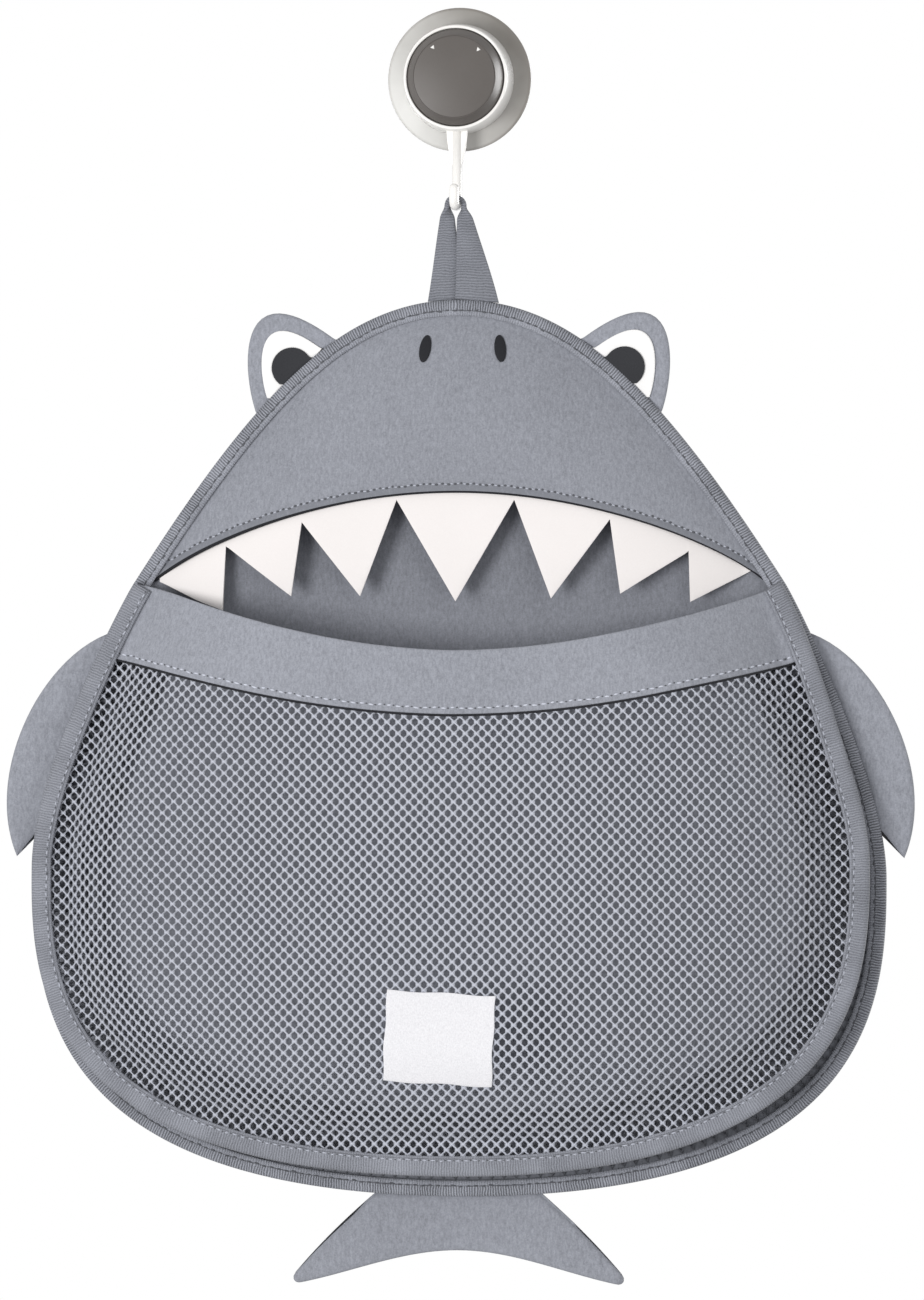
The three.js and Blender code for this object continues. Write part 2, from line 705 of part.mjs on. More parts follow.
// Bag: back, head with lip, teeth, edge tape
const bag = new THREE.Group();
bag.name = 'bag';
organizer.add(bag);
addPiece(bag, 'back_panel', plate(new THREE.Shape(inset(bodyLoop, panelInset, true)), backDepth, BACK_THICK), PALE, 0.9);
addPiece(bag, 'edge_binding', tape(bodyLoop, tapeSection(TAPE_WIDTH, edgeDepth), WALL_ROOM, true), TAPE_GREY, 0.9);

const headEdge = [...rightSide, ...mirrored(rightSide).slice(1)];
const headFlat = TAPE_WIDTH + HEAD_MARGIN;
const headPuff = (x, z) => rise(distanceTo(headEdge, x, z) - headFlat, HEAD_PUFF_REACH, HEAD_PUFF);
const lipX = mouthX - TAPE_WIDTH;
const lipTop = mouthZ + LIP_RISE;
const lip = new THREE.CubicBezierCurve(
  flat(lipX, mouthZ),
  flat(LIP_CORNER_OUT * lipX, mouthZ + LIP_CORNER_UP * LIP_RISE),
  flat(LIP_MIDDLE_FLAT * lipX, lipTop),
  flat(0, lipTop),
).getPoints(14);
const lipZ = (x) => (Math.abs(x) < lipX ? heightOn(lip, Math.abs(x)) : mouthZ);
const headRight = inset(bodyLoop, panelInset, true).slice(0, headSide.length);
const headGrid = columns(headRight.at(-1).x - TAPE_THICK, (x) => {
  const high = heightOn(headRight, Math.abs(x));
  const across = heightOn(headRight, Math.abs(x) - GAP) - heightOn(headRight, Math.abs(x) + GAP);
  return heightsBetween(lipZ(x), high, (headFlat - panelInset) * Math.hypot(1, across / (2 * GAP)), ROWS);
});
addPiece(bag, 'head_panel', sheet(headGrid, headDepth, HEAD_THICK, headPuff), GREY, 0.9);

// Teeth: straight flanks between tips at one level and notches that follow the lip
const teethLine = [flat(TOOTH_TIPS[0], lipTop - TOOTH_REACH)];
TOOTH_NOTCHES.forEach((x, i) => {
  teethLine.push(flat(x, lipZ(x) - TOOTH_ROOT));
  const drop = i === TOOTH_NOTCHES.length - 1 ? TOOTH_REACH + TOOTH_LAST : TOOTH_REACH;
  teethLine.push(flat(TOOTH_TIPS[i + 1], lipTop - drop));
});
teethLine.push(flat(TEETH_HALF, lipZ(TEETH_HALF) - TOOTH_ROOT / 4));
const teethSeam = (x) => lipZ(x) + LIP_SEAM * (1 - (x / TEETH_HALF) ** 2);
const teethUpper = Array.from({ length: COLUMNS + 1 }, (_, i) => mix(-TEETH_HALF, TEETH_HALF, i / COLUMNS))
  .slice(1, -1)
  .map((x) => flat(x, teethSeam(x)));
const teethLip = teethUpper.map((p) => flat(p.x, lipZ(p.x) - TOOTH_ROOT / 4));
const teethEnd = teethLine.at(-1);
const strip = new THREE.Shape([...mirrored([teethEnd]), ...teethLip, teethEnd, ...teethUpper.toReversed()]);
const row = new THREE.Shape([...mirrored(teethLine), ...teethLine.slice(1), ...teethLip.toReversed()]);
const teethFlat = mergeGeometries([strip, row].map((shape) => onlyPosition(new THREE.ShapeGeometry(shape))));
const teethDepth = headDepth - 2 * GAP - TEETH_THICK;
addPiece(bag, 'teeth_strip', sheet(teethFlat, teethDepth, TEETH_THICK, headPuff), WHITE, 0.9);

for (const side of [-1, 1]) {
  const shape = new THREE.Shape();
  shape.absellipse(
    side * NOSTRIL_SIDE + NOSTRIL_SHIFT,
    bodyTop - NOSTRIL_DROP,
    NOSTRIL_WIDTH / 2,
    NOSTRIL_LENGTH / 2,
    0,
    2 * Math.PI,
    false,
    side * degrees(NOSTRIL_LEAN),
  );
  const spot = sheet(new THREE.ShapeGeometry(shape, 6), headDepth + HEAD_THICK + 2 * GAP, PATCH_THICK, headPuff);
  addPiece(bag, side < 0 ? 'nostril_left' : 'nostril_right', spot, BLACK, 0.8);
}

// Eye flaps in the edge seam: grey base, white inlay and black pupil, each ending at the edge tape
const eyeZ = bodyTop - PUPIL_DROP;
const eyeCentre = flat(edgeX(eyeZ) + PUPIL_OUT, eyeZ);
const eyeSeam = edgePoints(bodyTop - EYE_LOW, bodyTop - EYE_HIGH, 8);
const eyeEdge = new THREE.CubicBezierCurve(
  eyeSeam.at(-1),
  eyeCentre.clone().add(flat(...EYE_PULL_TOP)),
  eyeCentre.clone().add(flat(...EYE_PULL_LOW)),
  eyeSeam[0],
).getPoints(14);
const aboutEye = (p) => p.clone().sub(eyeCentre).multiplyScalar(WHITE_SCALE).add(eyeCentre);
const whiteEdge = eyeEdge.map(aboutEye).filter((p) => p.x > edgeX(p.y) + GAP);
const whiteSeam = edgePoints(whiteEdge.at(-1).y, whiteEdge[0].y, 6);
const pupilEdge = Array.from({ length: PUPIL_STEPS }, (_, i) => {
  const angle = (2 * Math.PI * i) / PUPIL_STEPS;
  return flat(Math.cos(angle), Math.sin(angle)).multiplyScalar(PUPIL_RADIUS).add(eyeCentre);
}).filter((p) => p.x > edgeX(p.y) + GAP);
const pupilTop = pupilEdge.findIndex((p, i) => i > 0 && p.distanceTo(pupilEdge[i - 1]) > PUPIL_RADIUS / 2);
const pupilRun = pupilTop < 0 ? pupilEdge : [...pupilEdge.slice(pupilTop), ...pupilEdge.slice(0, pupilTop)];
const pupilSeam = edgePoints(pupilRun.at(-1).y, pupilRun[0].y, 4);
const eyeDepth = edgeMiddle - EYE_THICK / 2;
const whiteDepth = eyeDepth + EYE_THICK + GAP;
const pupilDepth = whiteDepth + PATCH_THICK + GAP;
const eyeLayers = [
  ['eye_base', [...eyeSeam.slice(1, -1), ...eyeEdge], eyeDepth, EYE_THICK, GREY],
  ['eye_white', [...whiteSeam.slice(1, -1), ...whiteEdge], whiteDepth, PATCH_THICK, WHITE],
  ['eye_pupil', [...pupilSeam.slice(1, -1), ...pupilRun], pupilDepth, PATCH_THICK, BLACK],
];
for (const [name, points, depth, thickness, colour] of eyeLayers) {
  addPiece(bag, `${name}_left`, plate(new THREE.Shape(mirrored(points)), depth, thickness), colour, 0.85);
  addPiece(bag, `${name}_right`, plate(new THREE.Shape(points), depth, thickness), colour, 0.85);
}

// Fins and tail in the edge seam
const flapDepth = edgeMiddle - FIN_THICK / 2;
const finSeam = edgePoints(bodyTop - FIN_BOTTOM, bodyTop - FIN_TOP, 8);
const finTip = finSeam[0].clone().add(flat(FIN_TIP_OUT, -FIN_TIP_DROP));
const finEdge = new THREE.CubicBezierCurve(
  finSeam.at(-1),
  finSeam.at(-1).clone().add(flat(...FIN_PULL_TOP)),
  finTip.clone().add(flat(...FIN_PULL_TIP)),
  finTip,
).getPoints(14);
const finOutline = [...finSeam, ...finEdge.slice(1)];
addPiece(bag, 'left_fin', plate(new THREE.Shape(mirrored(finOutline)), flapDepth, FIN_THICK), GREY, 0.9);
addPiece(bag, 'right_fin', plate(new THREE.Shape(finOutline), flapDepth, FIN_THICK), GREY, 0.9);

const tailTip = flat(TAIL_HALF, bodyBottom - TAIL_DROP);
const tailRoot = flat(TAIL_ROOT, bottomZ(TAIL_ROOT));
const tailSide = new THREE.QuadraticBezierCurve(
  tailRoot,
  flat(mix(TAIL_ROOT, TAIL_HALF, TAIL_FLARE), (tailRoot.y + tailTip.y) / 2),
  tailTip,
).getPoints(6);
const tailEdge = new THREE.CubicBezierCurve(
  tailTip,
  flat(TAIL_LOBE * TAIL_HALF, tailTip.y + TAIL_LIFT * (TAIL_DROP - TAIL_NOTCH)),
  flat(TAIL_HOLLOW * TAIL_HALF, bodyBottom - TAIL_NOTCH),
  flat(0, bodyBottom - TAIL_NOTCH),
).getPoints(8);
const tailSeam = [0, 1 / 3, 2 / 3].map((part) => flat(part * TAIL_ROOT, bottomZ(part * TAIL_ROOT)));
const tailRight = [...tailSeam, ...tailSide, ...tailEdge.slice(1)];
const tailOutline = [...tailRight, ...mirrored(tailRight).slice(1, -1)];
addPiece(bag, 'tail_fin', plate(new THREE.Shape(tailOutline), flapDepth, FIN_THICK), GREY, 0.9);

// Pocket front, in a frame that hinges at the mouth corners: Z is 0 at the corners
const pocketDepth = edgeFront + POCKET_ROOM;
const pocketDrop = mouthZ - bodyBottom - POCKET_TUCK;
const pocket = new THREE.Group();
pocket.name = 'pocket_front';
pocket.position.set(0, -pocketDepth, mouthZ);
pocket.rotation.x = -Math.asin(POCKET_GAPE / pocketDrop);
pocket.updateMatrix();
organizer.add(pocket);
const tuckX = 1 - POCKET_TUCK_SIDE / halfWidth;
const tuckZ = pocketDrop / (mouthZ - bodyBottom);
const pocketSide = lowerSide.map((p) => flat(p.x * tuckX, (p.y - mouthZ) * tuckZ));
const pocketPath = [...pocketSide, ...mirrored(pocketSide).slice(1)];
const pocketInner = inset(pocketPath, panelInset, false);
const grooveDepth = COLLAR_THICK + 2 * GAP;
const pocketTapeDepth = grooveDepth + 2 * TAPE_THICK;
addPiece(pocket, 'front_binding', tape(pocketPath, tapeSection(POCKET_TAPE, pocketTapeDepth), 0, false), TAPE_GREY, 0.9);
const pocketFlat = POCKET_TAPE + POCKET_MARGIN;
const pocketPuff = (x, z) => rise(distanceTo(pocketPath, x, z) - pocketFlat, POCKET_PUFF_REACH, POCKET_PUFF);

// Sagging line between two points at one height, from right to left
function sagging(end, sag, steps) {
  const radius = (end.x * end.x + sag * sag) / (2 * sag);
  const reach = Math.asin(end.x / radius);
  return Array.from({ length: steps + 1 }, (_, i) => {
    const angle = mix(reach, -reach, i / steps);
    return flat(radius * Math.sin(angle), end.y - sag + radius * (1 - Math.cos(angle)));
  });
}

const innerRight = pocketInner.slice(0, pocketSide.length);

function innerPoint(z) {
  const i = Math.max(innerRight.findIndex((p) => p.y <= z), 1);
  const a = innerRight[i - 1];
  const b = innerRight[i];
  return flat(mix(a.x, b.x, (z - a.y) / (b.y - a.y)), z);
}

const collarTop = sagging(innerPoint(-panelInset), MOUTH_SAG, COLUMNS);
const collarLow = sagging(innerPoint(-COLLAR_HEIGHT), COLLAR_SAG, COLUMNS);
const collarSide = innerRight.slice(0, innerRight.findIndex((p) => p.y < -COLLAR_HEIGHT) + 1);
const layerMiddle = TAPE_THICK + GAP + COLLAR_THICK / 2;
const collarGrid = columns(collarLow[0].x - GAP, (x) => {
  const high = Math.abs(x) < collarTop[0].x ? heightOn(collarTop, x) : heightOn(collarSide, Math.abs(x));
  return heightsBetween(heightOn(collarLow, x), high, COLLAR_HEIGHT / 4, 3);
});
addPiece(pocket, 'mouth_collar', sheet(collarGrid, layerMiddle - COLLAR_THICK / 2, COLLAR_THICK, pocketPuff), GREY, 0.9);

// Net: a flat lattice of diamond gaps inside a plain selvage, puffed with the pocket
const netSide = innerPoint(-COLLAR_HEIGHT - GAP);
const netTop = sagging(netSide, COLLAR_SAG, COLUMNS).reverse();
const netLow = pocketInner.filter((p) => p.y < netSide.y - GAP);
const netOutline = [...netLow, ...netTop];
const netPitch = (2 * halfWidth * tuckX - 2 * POCKET_TAPE) / NET_COLUMNS;
const netGapX = netPitch / 2 - NET_BAR * NET_BAR_SIDE;
const netGapZ = netPitch / 2 - NET_BAR * NET_BAR_ABOVE;

const seamPath = inset(pocketPath, pocketFlat, false);
const seamTop = netTop.filter((p) => distanceTo(pocketPath, p.x, p.y) > pocketFlat + NET_SELVAGE);
const seamLow = seamPath.filter((p) => p.y < seamTop[0].y - NET_SELVAGE && within(netOutline, p.x, p.y));
const netBorder = new THREE.Shape([...netLow, ...netTop.slice(0, netTop.indexOf(seamTop[0])), seamTop[0],
  ...seamLow.toReversed(), seamTop.at(-1), ...netTop.slice(netTop.indexOf(seamTop.at(-1)) + 1)]);
const netShape = new THREE.Shape([...seamLow, ...seamTop]);

function netTakes(x, z) {
  if (!within(netOutline, x, z)) return false;
  if (distanceTo(pocketPath, x, z) < pocketFlat + NET_SELVAGE) return false;
  return distanceTo(netTop, x, z) > NET_SELVAGE;
}

const netRows = Math.ceil((2 * pocketDrop) / netPitch);
for (let row = 0; row < netRows; row += 1) {
  const z = -pocketDrop + POCKET_TAPE + (row * netPitch) / 2;
  const shift = row % 2 ? netPitch / 2 : 0;
  for (let column = -NET_COLUMNS; column <= NET_COLUMNS; column += 1) {
    const x = column * netPitch + shift;
    const corners = [[x + netGapX, z], [x, z + netGapZ], [x - netGapX, z], [x, z - netGapZ]];
    if (corners.every(([cx, cz]) => netTakes(cx, cz))) {
      netShape.holes.push(new THREE.Path(corners.map(([cx, cz]) => flat(cx, cz))));
    }
  }
}
const netFlat = mergeGeometries([netBorder, netShape].map((shape) => onlyPosition(new THREE.ShapeGeometry(shape))));
addPiece(pocket, 'front_mesh', sheet(netFlat, layerMiddle - NET_THICK / 2, NET_THICK, pocketPuff), NET_GREY, 0.8);

const labelFlat = new THREE.PlaneGeometry(LABEL_WIDTH, LABEL_HEIGHT, 6, 6);
labelFlat.rotateZ(-degrees(LABEL_TURN));
labelFlat.translate(LABEL_SIDE, -pocketDrop + LABEL_LIFT, 0);
const labelDepth = layerMiddle + NET_THICK / 2 + 3 * GAP;
addPiece(pocket, 'label', sheet(labelFlat, labelDepth, PATCH_THICK, pocketPuff), WHITE, 0.8);

// Gusset: folded side wall from the back, just inside the edge tape, to the pocket's front tape
const lowerPath = [...lowerSide, ...mirrored(lowerSide).slice(1)];
const gussetBack = inset(lowerPath, TAPE_WIDTH + GAP, false);
const gussetFront = inset(pocketPath, GUSSET_SEAM, false);
const gussetSection = [flat(0, 0), flat(0.5, 0), flat(1, 0), flat(1, 1), flat(0.5, 1), flat(0, 1)];
const gussetStations = lowerPath.map((_, i) => {
  const before = lowerPath[Math.max(i - 1, 0)];
  const after = lowerPath[Math.min(i + 1, lowerPath.length - 1)];
  const along = after.clone().sub(before).normalize();
  const inward = new THREE.Vector3(along.y, 0, -along.x);
  const back = new THREE.Vector3(gussetBack[i].x, -headDepth, gussetBack[i].y);
  const front = new THREE.Vector3(gussetFront[i].x, GAP, gussetFront[i].y).applyMatrix4(pocket.matrix);
  const deep = (back.y - front.y) / (POCKET_GAPE + edgeFront - headDepth);
  return gussetSection.map((s) => {
    const fold = GUSSET_FOLD * Math.min(deep, 1) * (s.x === 0.5 ? 1 : 0);
    return back.clone().lerp(front, s.x).addScaledVector(inward, fold + s.y * GUSSET_THICK);
  });
});
addPiece(bag, 'gusset_mesh', swept(gussetStations, gussetSection, false), NET_GREY, 0.8);

export default organizer;
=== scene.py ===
import json
import math

import bmesh
import bpy
import numpy as np
from mathutils import Matrix, Vector


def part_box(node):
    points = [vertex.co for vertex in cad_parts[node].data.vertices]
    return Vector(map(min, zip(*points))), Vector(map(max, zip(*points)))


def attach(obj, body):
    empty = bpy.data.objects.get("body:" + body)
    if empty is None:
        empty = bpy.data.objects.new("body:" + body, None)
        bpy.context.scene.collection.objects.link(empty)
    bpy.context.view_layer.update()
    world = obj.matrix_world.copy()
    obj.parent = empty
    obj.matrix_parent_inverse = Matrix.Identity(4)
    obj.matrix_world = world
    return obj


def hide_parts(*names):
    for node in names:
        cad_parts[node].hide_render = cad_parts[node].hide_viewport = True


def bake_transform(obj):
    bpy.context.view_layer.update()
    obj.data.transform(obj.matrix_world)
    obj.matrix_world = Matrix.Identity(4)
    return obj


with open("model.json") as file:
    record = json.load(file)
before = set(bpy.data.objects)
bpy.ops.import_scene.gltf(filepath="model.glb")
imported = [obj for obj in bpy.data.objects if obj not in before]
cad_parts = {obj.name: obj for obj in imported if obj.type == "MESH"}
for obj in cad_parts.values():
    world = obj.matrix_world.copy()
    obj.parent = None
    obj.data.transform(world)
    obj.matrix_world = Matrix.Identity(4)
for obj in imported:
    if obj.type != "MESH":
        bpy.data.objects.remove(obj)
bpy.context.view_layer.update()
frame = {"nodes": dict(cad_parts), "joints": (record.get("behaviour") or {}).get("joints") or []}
nodes = frame["nodes"]
joints = {joint["name"]: joint for joint in frame["joints"]}
scene = bpy.context.scene

MM = 0.001
SIDES = ((-1, "left"), (1, "right"))

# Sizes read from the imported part
edge_low, edge_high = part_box("edge_binding")
HALF_WIDTH = edge_high.x
BODY_TOP = edge_high.z
BODY_BOTTOM = edge_low.z
BODY_HEIGHT = BODY_TOP - BODY_BOTTOM
EDGE_BACK = -edge_high.y
EDGE_FRONT = -edge_low.y
EDGE_MIDDLE = (EDGE_BACK + EDGE_FRONT) / 2
POCKET_DEPTH = -joints["pocket_spread"]["pos_m"][1]
MOUTH_Z = joints["pocket_spread"]["pos_m"][2]
THROAT_DEPTH = -joints["side_swing"]["pos_m"][1]
BAR_Z = joints["side_swing"]["pos_m"][2]

# Cloth sizes
SEAM_GAP = 0.3 * MM
TAPE_THICK = 1.0 * MM
EDGE_TAPE = 7.0 * MM
POCKET_TAPE = 8.6 * MM
BACK_THICK = 2.5 * MM
HEAD_THICK = 2.0 * MM
HEAD_DEPTH = EDGE_FRONT - TAPE_THICK - SEAM_GAP - HEAD_THICK
BACK_DEPTH = EDGE_BACK + TAPE_THICK + SEAM_GAP
HEAD_PUFF = 13.0 * MM
HEAD_REACH = 48.0 * MM
HEAD_MARGIN = EDGE_TAPE + 1.5 * MM
POCKET_PUFF = 28.0 * MM
POCKET_REACH = 42.0 * MM
POCKET_MARGIN = POCKET_TAPE + 6.5 * MM
POCKET_TUCK = 9.0 * MM
POCKET_TUCK_SIDE = 1.4 * MM
POCKET_GAPE = 20.0 * MM
RIGHT_PULL = 4.7 * MM
RIGHT_PULL_REACH = 80.0 * MM
COLLAR_EASE = 75.0 * MM
COLLAR_MARGIN = 5.0 * MM
COLLAR_REACH = 34.0 * MM

# Shape of the bag's outline, as shares of its half width and its height
MOUTH_WIDTH = 0.763
MOUTH_SLOPE = math.radians(57.3)
WIDEST_LEVEL = 0.644
BROW_FULL = 0.275
CHEEK_FULL = 0.523
JAW_FULL = 0.052
FLANK_RISE = 0.108
FLANK_FALL = 0.128
BOTTOM_FULL = 0.993


# Flat outlines: rows of (x, z)
def bezier(a, b, c, d, steps):
    t = np.linspace(0, 1, steps + 1)[:, None]
    a, b, c, d = (np.array(p, float) for p in (a, b, c, d))
    return (1 - t) ** 3 * a + 3 * (1 - t) ** 2 * t * b + 3 * (1 - t) * t**2 * c + t**3 * d


def lengths(points):
    return np.concatenate([[0], np.cumsum(np.linalg.norm(np.diff(points, axis=0), axis=1))])


def along(points, run, at):
    """Points of a line at places along its run."""
    return np.stack([np.interp(at, run, column) for column in points.T], axis=1)


def spaced(points, steps):
    run = lengths(points)
    return along(points, run, np.linspace(0, run[-1], steps + 1))


def pick(points, u):
    """Points of a line at shares u of its length."""
    run = lengths(points)
    return along(points, run / run[-1], u)


def pick_even(points, u):
    """Points of a line at shares u of its count of points."""
    return along(points, np.linspace(0, 1, len(points)), u)


def height_on(points, x):
    order = np.argsort(points[:, 0])
    return np.interp(x, points[order, 0], points[order, 1])


def shares(values):
    """Values as shares of the way from the lowest to the highest."""
    return (values - values.min()) / np.ptp(values)


def both_sides(points):
    """A line that ends in the middle, followed by its mirror image."""
    return np.concatenate([points, points[-2::-1] * [-1, 1]])


def ring(points):
    """A loop's points with the first one again at the end."""
    return np.concatenate([points, points[:1]])


def pairs(a, b):
    return np.stack([a, b], axis=1)


def unit(rows):
    return rows / np.linalg.norm(rows, axis=1)[:, None]


def inward(points, loop=False):
    """Unit normals on the right-hand side of a line that runs clockwise."""
    if loop:
        way = np.roll(points, -1, axis=0) - np.roll(points, 1, axis=0)
    else:
        way = np.gradient(points, axis=0)
    way = unit(way)
    return pairs(way[:, 1], -way[:, 0])


def inset(points, distance, loop=False):
    return points + inward(points, loop) * distance


CHUNK = 4000


def distance_to(points, x, z):
    """Distance of each (x, z) from a line, worked out in chunks."""
    a, b = points[:-1], points[1:]
    run = b - a
    square = np.maximum((run**2).sum(1), 1e-18)
    chunks = 1 + len(x) // CHUNK
    best = []
    for px, pz in zip(np.array_split(x, chunks), np.array_split(z, chunks)):
        dx = px[:, None] - a[:, 0]
        dz = pz[:, None] - a[:, 1]
        t = np.clip((dx * run[:, 0] + dz * run[:, 1]) / square, 0, 1)
        best.append(np.hypot(dx - t * run[:, 0], dz - t * run[:, 1]).min(1))
    return np.concatenate(best)


def enclosed(points, x, z):
    """Whether each (x, z) lies inside a closed line."""
    inside = np.zeros(len(x), bool)
    for (ax, az), (bx, bz) in zip(points, np.roll(points, -1, axis=0)):
        crosses = (az > z) != (bz > z)
        with np.errstate(divide="ignore", invalid="ignore"):
            cut_x = (bx - ax) * (z - az) / (bz - az) + ax
        inside ^= crosses & (x < cut_x)
    return inside


def rise(distance, reach, height):
    t = np.clip(distance / reach, 0, 1)
    return height * (1 - (1 - t) ** 2)


def smooth_step(t):
    t = np.clip(t, 0, 1)
    return t * t * (3 - 2 * t)


def groove(away, half, depth):
    """Depth of a sewn groove at a distance from its middle."""
    return np.exp(-((away / half) ** 2)) * depth


MOUTH_X = MOUTH_WIDTH * HALF_WIDTH
mouth_way = np.array([math.cos(MOUTH_SLOPE), -math.sin(MOUTH_SLOPE)])
mouth_point = np.array([MOUTH_X, MOUTH_Z])
WIDEST_Z = BODY_TOP - WIDEST_LEVEL * BODY_HEIGHT
head_side = bezier(
    (0, BODY_TOP),
    (BROW_FULL * HALF_WIDTH, BODY_TOP),
    mouth_point - mouth_way * CHEEK_FULL * HALF_WIDTH,
    mouth_point,
    steps=80,
)
flank = bezier(
    mouth_point,
    mouth_point + mouth_way * JAW_FULL * HALF_WIDTH,
    (HALF_WIDTH, WIDEST_Z + FLANK_RISE * BODY_HEIGHT),
    (HALF_WIDTH, WIDEST_Z),
    steps=60,
)
bottom = bezier(
    (HALF_WIDTH, WIDEST_Z),
    (HALF_WIDTH, WIDEST_Z - FLANK_FALL * BODY_HEIGHT),
    (BOTTOM_FULL * HALF_WIDTH, BODY_BOTTOM),
    (0, BODY_BOTTOM),
    steps=90,
)
lower_side = np.concatenate([flank, bottom[1:]])
right_side = spaced(np.concatenate([head_side, lower_side[1:]]), steps=220)
body_line = both_sides(right_side)
body_loop = body_line[:-1]


def head_puff(x, z):
    return rise(distance_to(body_line, x, z) - HEAD_MARGIN, HEAD_REACH, HEAD_PUFF)


# Pocket front: flat outline in its own frame, where z is 0 at the mouth corners
POCKET_DROP = MOUTH_Z - BODY_BOTTOM - POCKET_TUCK
POCKET_TILT = math.asin(POCKET_GAPE / POCKET_DROP)
lower_even = spaced(lower_side, steps=150)
pocket_side = (lower_even - [0, MOUTH_Z]) * [
    1 - POCKET_TUCK_SIDE / HALF_WIDTH,
    POCKET_DROP / (MOUTH_Z - BODY_BOTTOM),
]
pocket_line = both_sides(pocket_side)
right_pull = smooth_step(-pocket_line[:, 1] / RIGHT_PULL_REACH) * smooth_step(pocket_line[:, 0] / MOUTH_X)
pocket_line[:, 0] -= RIGHT_PULL * right_pull


def pocket_puff(x, z):
    """Swell of the pocket's face, slower beside the mouth than lower down."""
    high = smooth_step(1 + z / COLLAR_EASE)
    margin = POCKET_MARGIN - COLLAR_MARGIN * high
    reach = POCKET_REACH + COLLAR_REACH * high
    return rise(distance_to(pocket_line, x, z) - margin, reach, POCKET_PUFF)


def on_bag(x, depth, z):
    return np.stack([x, -depth, z], axis=1)


def on_pocket(x, depth, z):
    """Points of the pocket's own frame, tilted about the line between the mouth corners."""
    c, s = math.cos(POCKET_TILT), math.sin(POCKET_TILT)
    return np.stack([x, -POCKET_DEPTH - depth * c + z * s, MOUTH_Z + z * c + depth * s], axis=1)


# Materials
class Value:
    """An output in a node tree. Arithmetic on it adds Math nodes."""

    def __init__(self, tree, socket):
        self.tree = tree
        self.socket = socket

    def math(self, operation, *others):
        node = self.tree.nodes.new("ShaderNodeMath")
        node.operation = operation
        for socket, value in zip(node.inputs, (self, *others)):
            feed(self.tree, value, socket)
        return Value(self.tree, node.outputs[0])

    def __add__(self, other):
        return self.math("ADD", other)

    def __sub__(self, other):
        return self.math("SUBTRACT", other)

    def __mul__(self, other):
        return self.math("MULTIPLY", other)

    def __truediv__(self, other):
        return self.math("DIVIDE", other)

    def clamped(self):
        return self.math("MINIMUM", 1.0).math("MAXIMUM", 0.0)


def feed(tree, value, socket):
    """Links a value to a socket, or sets the socket to a number."""
    if isinstance(value, Value):
        tree.links.new(value.socket, socket)
    else:
        socket.default_value = value


class Pattern:
    """A node group with a vector and named numbers as its inputs. Noise scales are per metre."""

    def __init__(self, name, numbers):
        self.tree = bpy.data.node_groups.new(name, "ShaderNodeTree")
        self.tree.interface.new_socket("Vector", in_out="INPUT", socket_type="NodeSocketVector")
        for label, number in numbers.items():
            socket = self.tree.interface.new_socket(label, in_out="INPUT", socket_type="NodeSocketFloat")
            socket.default_value = number
        self.given = self.tree.nodes.new("NodeGroupInput").outputs

    def __getitem__(self, label):
        return Value(self.tree, self.given[label])

    def stretched(self, scale):
        node = self.tree.nodes.new("ShaderNodeMapping")
        node.inputs["Scale"].default_value = scale
        feed(self.tree, self["Vector"], node.inputs["Vector"])
        return Value(self.tree, node.outputs[0])

    def split(self):
        node = self.tree.nodes.new("ShaderNodeSeparateXYZ")
        feed(self.tree, self["Vector"], node.inputs[0])
        return [Value(self.tree, output) for output in node.outputs]

    def noise(self, scale, detail=2.0, roughness=0.5, vector=None):
        node = self.tree.nodes.new("ShaderNodeTexNoise")
        feed(self.tree, vector or self["Vector"], node.inputs["Vector"])
        for label, value in (("Scale", scale), ("Detail", detail), ("Roughness", roughness)):
            feed(self.tree, value, node.inputs[label])
        return Value(self.tree, node.outputs["Fac"])

    def give(self, **values):
        for label in values:
            self.tree.interface.new_socket(label, in_out="OUTPUT", socket_type="NodeSocketFloat")
        out = self.tree.nodes.new("NodeGroupOutput")
        for label, value in values.items():
            feed(self.tree, value, out.inputs[label])
        return self.tree


def knit_pattern():
    """Uneven ribs of jersey along the third coordinate, with flecks, cloudy shade and painted shade along the
    lip's hem band.
    """
    made = Pattern("jersey_knit", {"Ribs": 900.0, "Streak": 170.0, "Hem": 0.0})
    drawn = made.stretched((1.0, 1.0, 0.42))
    ribs = made.noise(made["Ribs"], 2.0, 0.6, drawn)
    streak = made.noise(made["Streak"], vector=drawn)
    fleck = made.noise(1500.0, 2.0, 0.6)
    cloud = made.noise(14.0)
    yarn = fleck * 0.9 + ribs
    shade = (streak * 0.08 + cloud * 0.25 + yarn) * 1.3 - 0.95
    return made.give(Shade=shade - made["Hem"] * 0.5, Height=yarn)


def rib_pattern():
    """Corded ribs along the first coordinate, with painted shade in a sewn groove along the second."""
    numbers = {"Ribs": 880.0, "Groove": 2.3 * MM, "Groove Half": 0.4 * MM, "Rib Weight": 0.7}
    made = Pattern("ribbed_tape", numbers)
    lengthways, across, _ = made.split()
    wobble = made.noise(220.0)
    fleck = made.noise(1800.0, 3.0, 0.6)
    cloud = made.noise(45.0)
    turn = (wobble * (1.6 * MM) + lengthways) * made["Ribs"] * (2 * math.pi)
    ribs = turn.math("SINE") * 0.5 + 0.5
    # Painted shade: the colour darkens in the sewn groove.
    away = (across - made["Groove"]).math("ABSOLUTE") / made["Groove Half"]
    open_part = (away + wobble * 1.6 - 0.6).clamped()
    outer = across.math("GREATER_THAN", made["Groove"])
    weight = (outer * 0.65 + 0.35) * made["Rib Weight"]
    speckle = fleck * (outer * -0.3 + 1.4)
    cord = (ribs - 0.5) * weight + speckle + cloud * 0.7 - 0.4
    return made.give(Shade=cord * open_part, Height=(fleck * 0.8 + ribs) * open_part)


